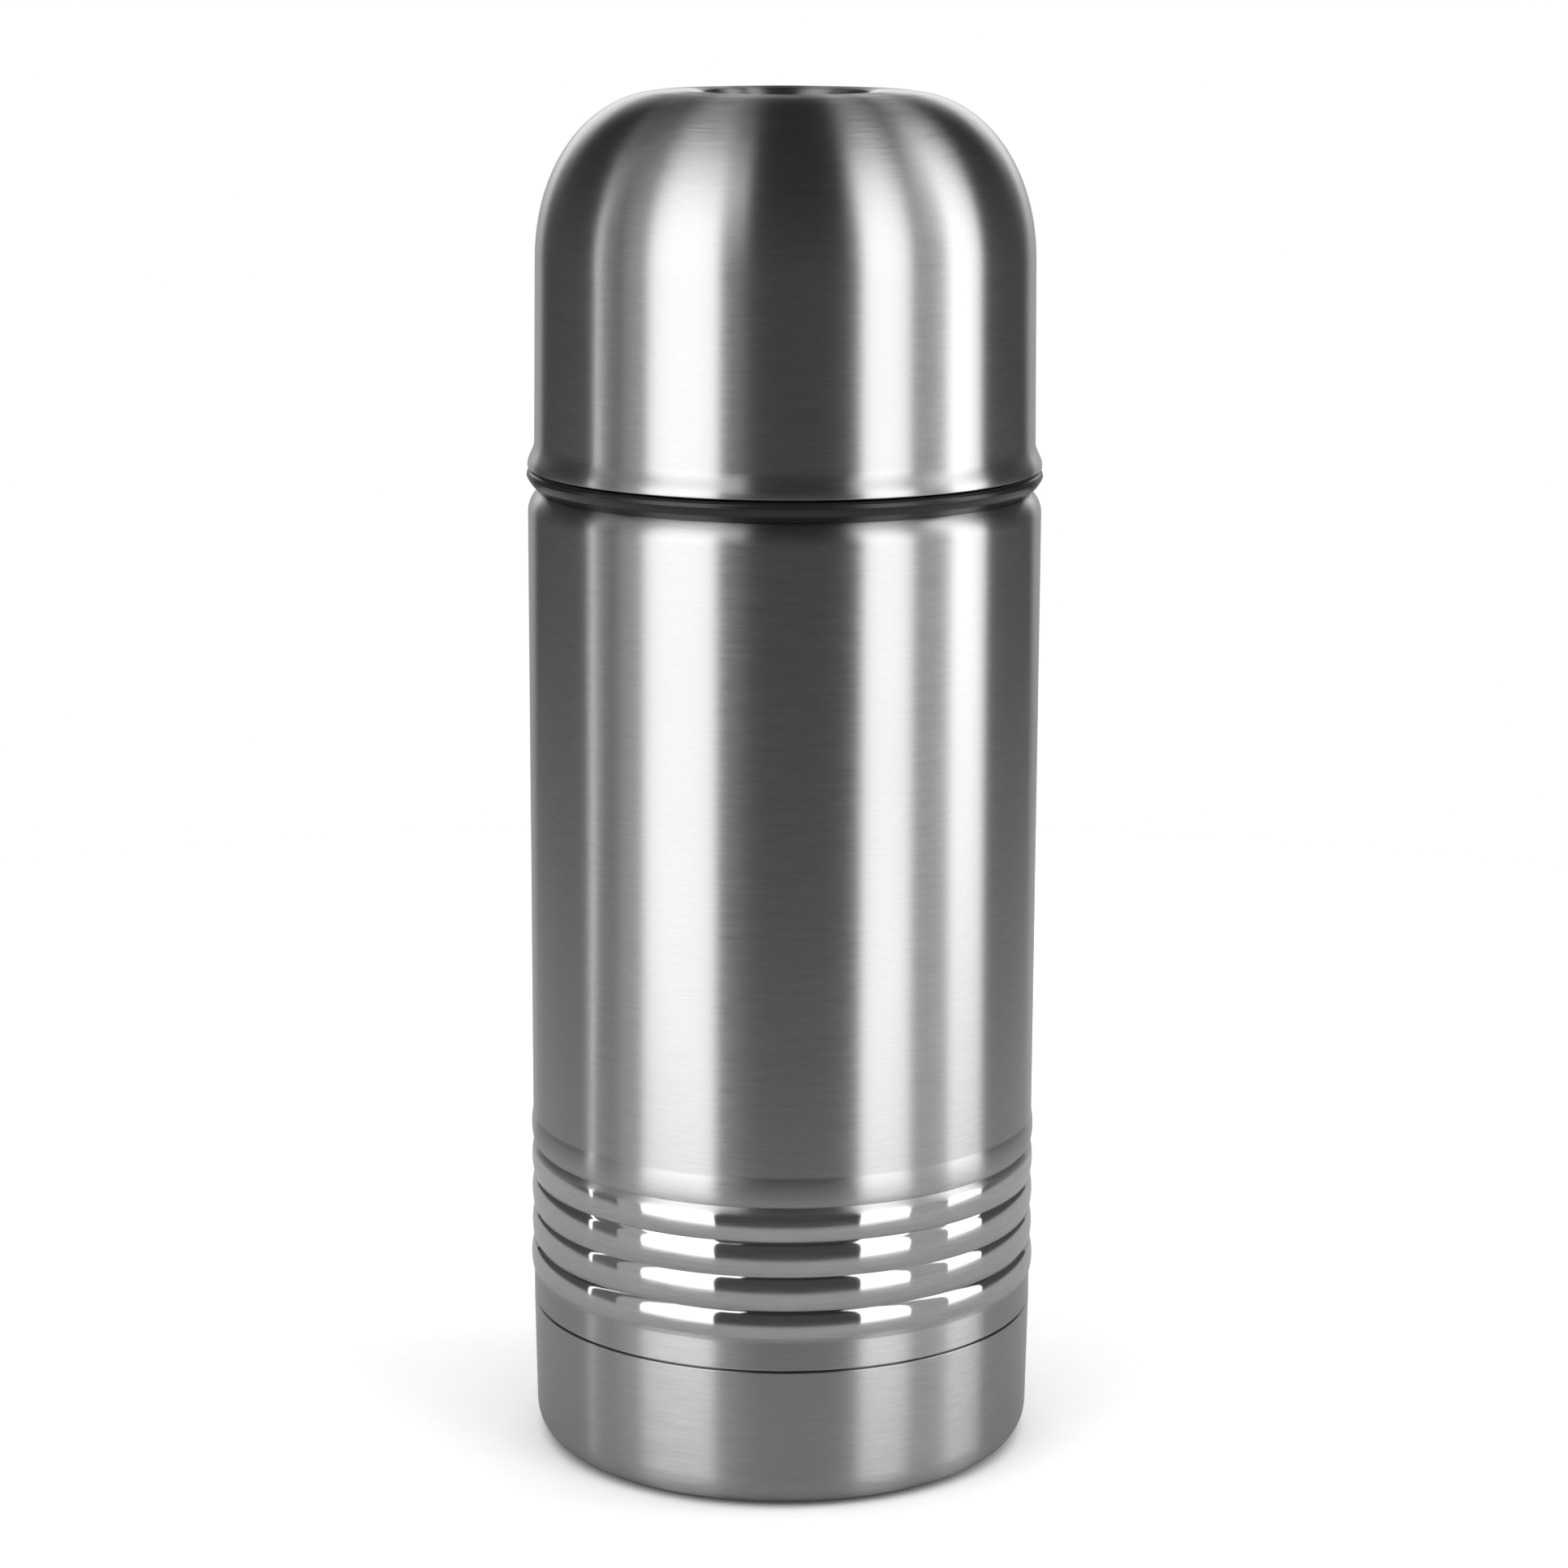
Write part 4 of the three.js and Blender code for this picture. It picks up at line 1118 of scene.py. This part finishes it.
def make_release_tab(side, name, node):
    """A sliding tab with a wider stop, and a ribbed face curved like the grip."""
    tab = span("release_tab_right")
    half, stop_half = TAB_WIDTH / 2, STOP_WIDTH / 2
    reach = math.degrees(math.asin(half / tab.radius))
    face = []
    for step in range(61):
        share = step / 60
        angle = math.radians(reach * (2 * share - 1))
        ripple = 0.35 * max(0, math.sin(7 * math.pi * share)) if 0.1 < share < 0.9 else 0
        face.append(((tab.radius - ripple) * math.cos(angle), (tab.radius - ripple) * math.sin(angle)))
    stop_end = TAB_STOP + STOP_LENGTH
    plan = [
        (TAB_INNER, -half), (TAB_STOP, -half), (TAB_STOP, -stop_half), (stop_end, -stop_half),
        (stop_end, -half), *face, (stop_end, half), (stop_end, stop_half), (TAB_STOP, stop_half),
        (TAB_STOP, half), (TAB_INNER, half),
    ]
    if side < 0:
        plan = [(-x, -y) for x, y in plan]
    piece = prism(name, plan, tab.bottom, tab.top, 0.2)
    dress(piece, "grey_plastic", node.replace("release_", ""), node)


# ---------- stage ----------

# Upright lights: first azimuth, last azimuth, radiance. Azimuths are in degrees from the camera's
# side, positive to the right.
STRIPS = (
    (-64.2, -29.5, 2.35),
    (-77, -64.2, 0.5),
    (-91.4, -77, 0.14),
    (-93.9, -92.4, 4.8),
    (34.5, 58, 2.35),
    (58, 78, 0.48),
    (78, 99, 2.4),
)
# The same, and then the lowest and highest heights: a high strip, three dim fills and two behind.
OTHER_LIGHTS = (
    (-29.5, -20, 2.3, 0.65, 1.2),
    (-143, -93.9, 0.06, -0.4, 0.45),
    (-29.5, 34.5, 0.05, -0.4, 0.45),
    (99, 143, 0.06, -0.4, 0.45),
    (144, 214, 0.38, -0.1, 0.27),
    (150, 210, 1.2, 0.27, 0.6),
)
OVERHEAD_SIZE, OVERHEAD_HEIGHT, OVERHEAD_POWER = 3.0, 2.0, 60.0
ROOM_GLOW = 0.038       # how bright the room is in reflections, where the backdrop is 1
ROLL, SIDEWAYS = 0.0039, 0.07 * MM  # the camera's lean, and its offset to the right
SENSOR_WIDTH = 36       # of the camera, in millimetres
FLOOR_RADIUS, FLOOR_HEIGHT, FLOOR_GREY = 450, -0.4, 0.9
TABLE_HEIGHT, TABLE_GREY = -0.8, 0.62


def strip_light(azimuths, radiance, heights, studio):
    """An upright light that covers a span of azimuths, as seen from the flask's axis."""
    lamp = bpy.data.lights.new("strip", "AREA")
    lamp.shape = "RECTANGLE"
    lamp.size = 2 * studio.strip_distance * math.tan(math.radians(azimuths[1] - azimuths[0]) / 2)
    lamp.size_y = heights[1] - heights[0]
    lamp.energy = radiance * math.pi * lamp.size * lamp.size_y
    thing = bpy.data.objects.new("strip", lamp)
    azimuth = math.radians(sum(azimuths) / 2)
    place = Vector((math.sin(azimuth), -math.cos(azimuth), 0)) * studio.strip_distance
    thing.location = place + Vector((0, 0, sum(heights) / 2))
    thing.rotation_euler = place.to_track_quat("Z", "Y").to_euler()
    thing.visible_camera = False
    bpy.context.scene.collection.objects.link(thing)


def make_camera(studio):
    camera = bpy.data.objects.new("camera", bpy.data.cameras.new("camera"))
    camera.data.lens = studio.lens
    camera.data.sensor_width = SENSOR_WIDTH
    turn_down = Matrix.Rotation(math.pi / 2 - studio.camera_tilt, 4, "X") @ Matrix.Rotation(ROLL, 4, "Z")
    place = Matrix.Translation((SIDEWAYS, -studio.camera_distance, studio.camera_height))
    camera.matrix_world = place @ turn_down
    bpy.context.scene.collection.objects.link(camera)
    bpy.context.scene.camera = camera


def matt_paint(name, grey):
    """Matt paint with an even grain."""
    colour = (grey, grey, grey)
    surface = Finish(name, Roughness=0.9)
    grain = surface.noise(300.0)
    surface.vary("Base Color", surface.mixed(grain, shade(colour, 0.97), shade(colour)))
    return surface.material


def stage_disc(name, radius, height, grey):
    thing = lathe(name, soften(disc(radius, height - 4, height)), SEGMENTS)
    thing.data.materials.append(matt_paint(f"{name}_paint", grey))
    return thing


def make_world():
    """Even white behind the flask, and a dim room in its reflections."""
    world = bpy.data.worlds.new("studio")
    bpy.context.scene.world = world
    world.use_nodes = True
    world.node_tree.nodes.clear()
    tree = Tree(world.node_tree)
    dim, white = (
        tree.add("ShaderNodeBackground", {}, {"Color": (1, 1, 1, 1), "Strength": strength})
        for strength in (ROOM_GLOW, 1.0)
    )
    seen = tree.add("ShaderNodeLightPath").output("Is Camera Ray")
    mixed = tree.add("ShaderNodeMixShader", {}, {0: seen, 1: dim, 2: white})
    tree.add("ShaderNodeOutputWorld", {}, {0: mixed})


def make_stage(studio):
    make_camera(studio)
    make_world()
    for first, last, radiance in STRIPS:
        strip_light((first, last), radiance, (studio.strip_bottom, studio.strip_top), studio)
    for first, last, radiance, low, high in OTHER_LIGHTS:
        strip_light((first, last), radiance, (low, high), studio)
    overhead = bpy.data.lights.new("overhead", "AREA")
    overhead.shape = "DISK"
    overhead.size = OVERHEAD_SIZE
    overhead.energy = OVERHEAD_POWER
    lamp = bpy.data.objects.new("overhead", overhead)
    lamp.location = (0, 0, OVERHEAD_HEIGHT)
    lamp.visible_camera = lamp.visible_glossy = False
    bpy.context.scene.collection.objects.link(lamp)
    floor = stage_disc("floor", FLOOR_RADIUS, FLOOR_HEIGHT, FLOOR_GREY)
    floor.visible_glossy = floor.visible_shadow = False
    table = stage_disc("table", studio.table_radius / MM, TABLE_HEIGHT, TABLE_GREY)
    table.location.y = studio.table_radius - studio.table_front
    table.visible_camera = table.visible_diffuse = False
    bpy.context.scene.view_settings.view_transform = "Standard"


# ---------- operators ----------


class FLASK_OT_stage(bpy.types.Operator):
    """Makes the floor, the lights and the camera"""

    bl_idname = "flask.stage"
    bl_label = "Stage"

    def execute(self, context):
        make_stage(context.scene.flask_studio)
        return {"FINISHED"}


class FLASK_OT_shell(bpy.types.Operator):
    """Makes the outer shell with its rolled ribs"""

    bl_idname = "flask.shell"
    bl_label = "Outer Shell"

    def execute(self, context):
        make_outer_shell(context.scene.flask_sizes)
        return {"FINISHED"}


class FLASK_OT_base(bpy.types.Operator):
    """Makes the base cap and what lies under the bottle"""

    bl_idname = "flask.base"
    bl_label = "Base"

    def execute(self, context):
        make_base_cap()
        make_base_cushion()
        make_bottom_plate()
        make_seal_plug()
        make_getter()
        return {"FINISHED"}


class FLASK_OT_bottle(bpy.types.Operator):
    """Makes the inner bottle and its foil"""

    bl_idname = "flask.bottle"
    bl_label = "Inner Bottle"

    def execute(self, context):
        make_inner_bottle()
        make_foil()
        return {"FINISHED"}


class FLASK_OT_neck(bpy.types.Operator):
    """Makes the threaded collar and its gasket"""

    bl_idname = "flask.neck"
    bl_label = "Neck"

    def execute(self, context):
        make_collar(context.scene.flask_sizes)
        make_collar_gasket()
        return {"FINISHED"}


class FLASK_OT_cup(bpy.types.Operator):
    """Makes the cup's shell, liner and seal"""

    bl_idname = "flask.cup"
    bl_label = "Cup"

    def execute(self, context):
        make_cup_shell()
        make_cup_liner()
        make_cup_seal_ring()
        return {"FINISHED"}


class FLASK_OT_stopper(bpy.types.Operator):
    """Makes the stopper's body, top, cover, insulation and gasket"""

    bl_idname = "flask.stopper"
    bl_label = "Stopper"

    def execute(self, context):
        make_stopper_body(context.scene.flask_sizes)
        make_stopper_top(context.scene.flask_sizes)
        make_stopper_core()
        make_stopper_cover()
        make_stopper_gasket()
        return {"FINISHED"}


class FLASK_OT_button(bpy.types.Operator):
    """Makes the push button, its spring, the valve and the release tabs"""

    bl_idname = "flask.button"
    bl_label = "Button and Valve"

    def execute(self, context):
        make_push_button()
        make_spring(context.scene.flask_sizes)
        make_valve()
        make_release_tab(-1, "left_tab", "release_tab_left")
        make_release_tab(1, "right_tab", "release_tab_right")
        return {"FINISHED"}


OPERATORS = (
    FLASK_OT_stage, FLASK_OT_shell, FLASK_OT_base, FLASK_OT_bottle, FLASK_OT_neck, FLASK_OT_cup,
    FLASK_OT_stopper, FLASK_OT_button,
)
GROUPS = {"flask_sizes": FlaskSizes, "flask_colours": FlaskColours, "flask_studio": FlaskStudio}


class FLASK_PT_panel(bpy.types.Panel):
    """Lists the flask's pieces and settings"""

    bl_label = "Vacuum Flask"
    bl_space_type = "VIEW_3D"
    bl_region_type = "UI"
    bl_category = "Flask"

    def draw(self, context):
        for operator in OPERATORS:
            self.layout.operator(operator.bl_idname)
        for group in GROUPS:
            settings = getattr(context.scene, group)
            box = self.layout.box()
            for name in settings.__annotations__:
                box.prop(settings, name)


def register():
    for cls in (*GROUPS.values(), *OPERATORS, FLASK_PT_panel):
        bpy.utils.register_class(cls)
    for name, group in GROUPS.items():
        setattr(bpy.types.Scene, name, PointerProperty(type=group))


def unregister():
    for name in GROUPS:
        delattr(bpy.types.Scene, name)
    for cls in (FLASK_PT_panel, *reversed(OPERATORS), *reversed(GROUPS.values())):
        bpy.utils.unregister_class(cls)


def main():
    register()
    for operator in OPERATORS:
        group, name = operator.bl_idname.split(".")
        getattr(getattr(bpy.ops, group), name)()


if __name__ == "__main__":
    main()
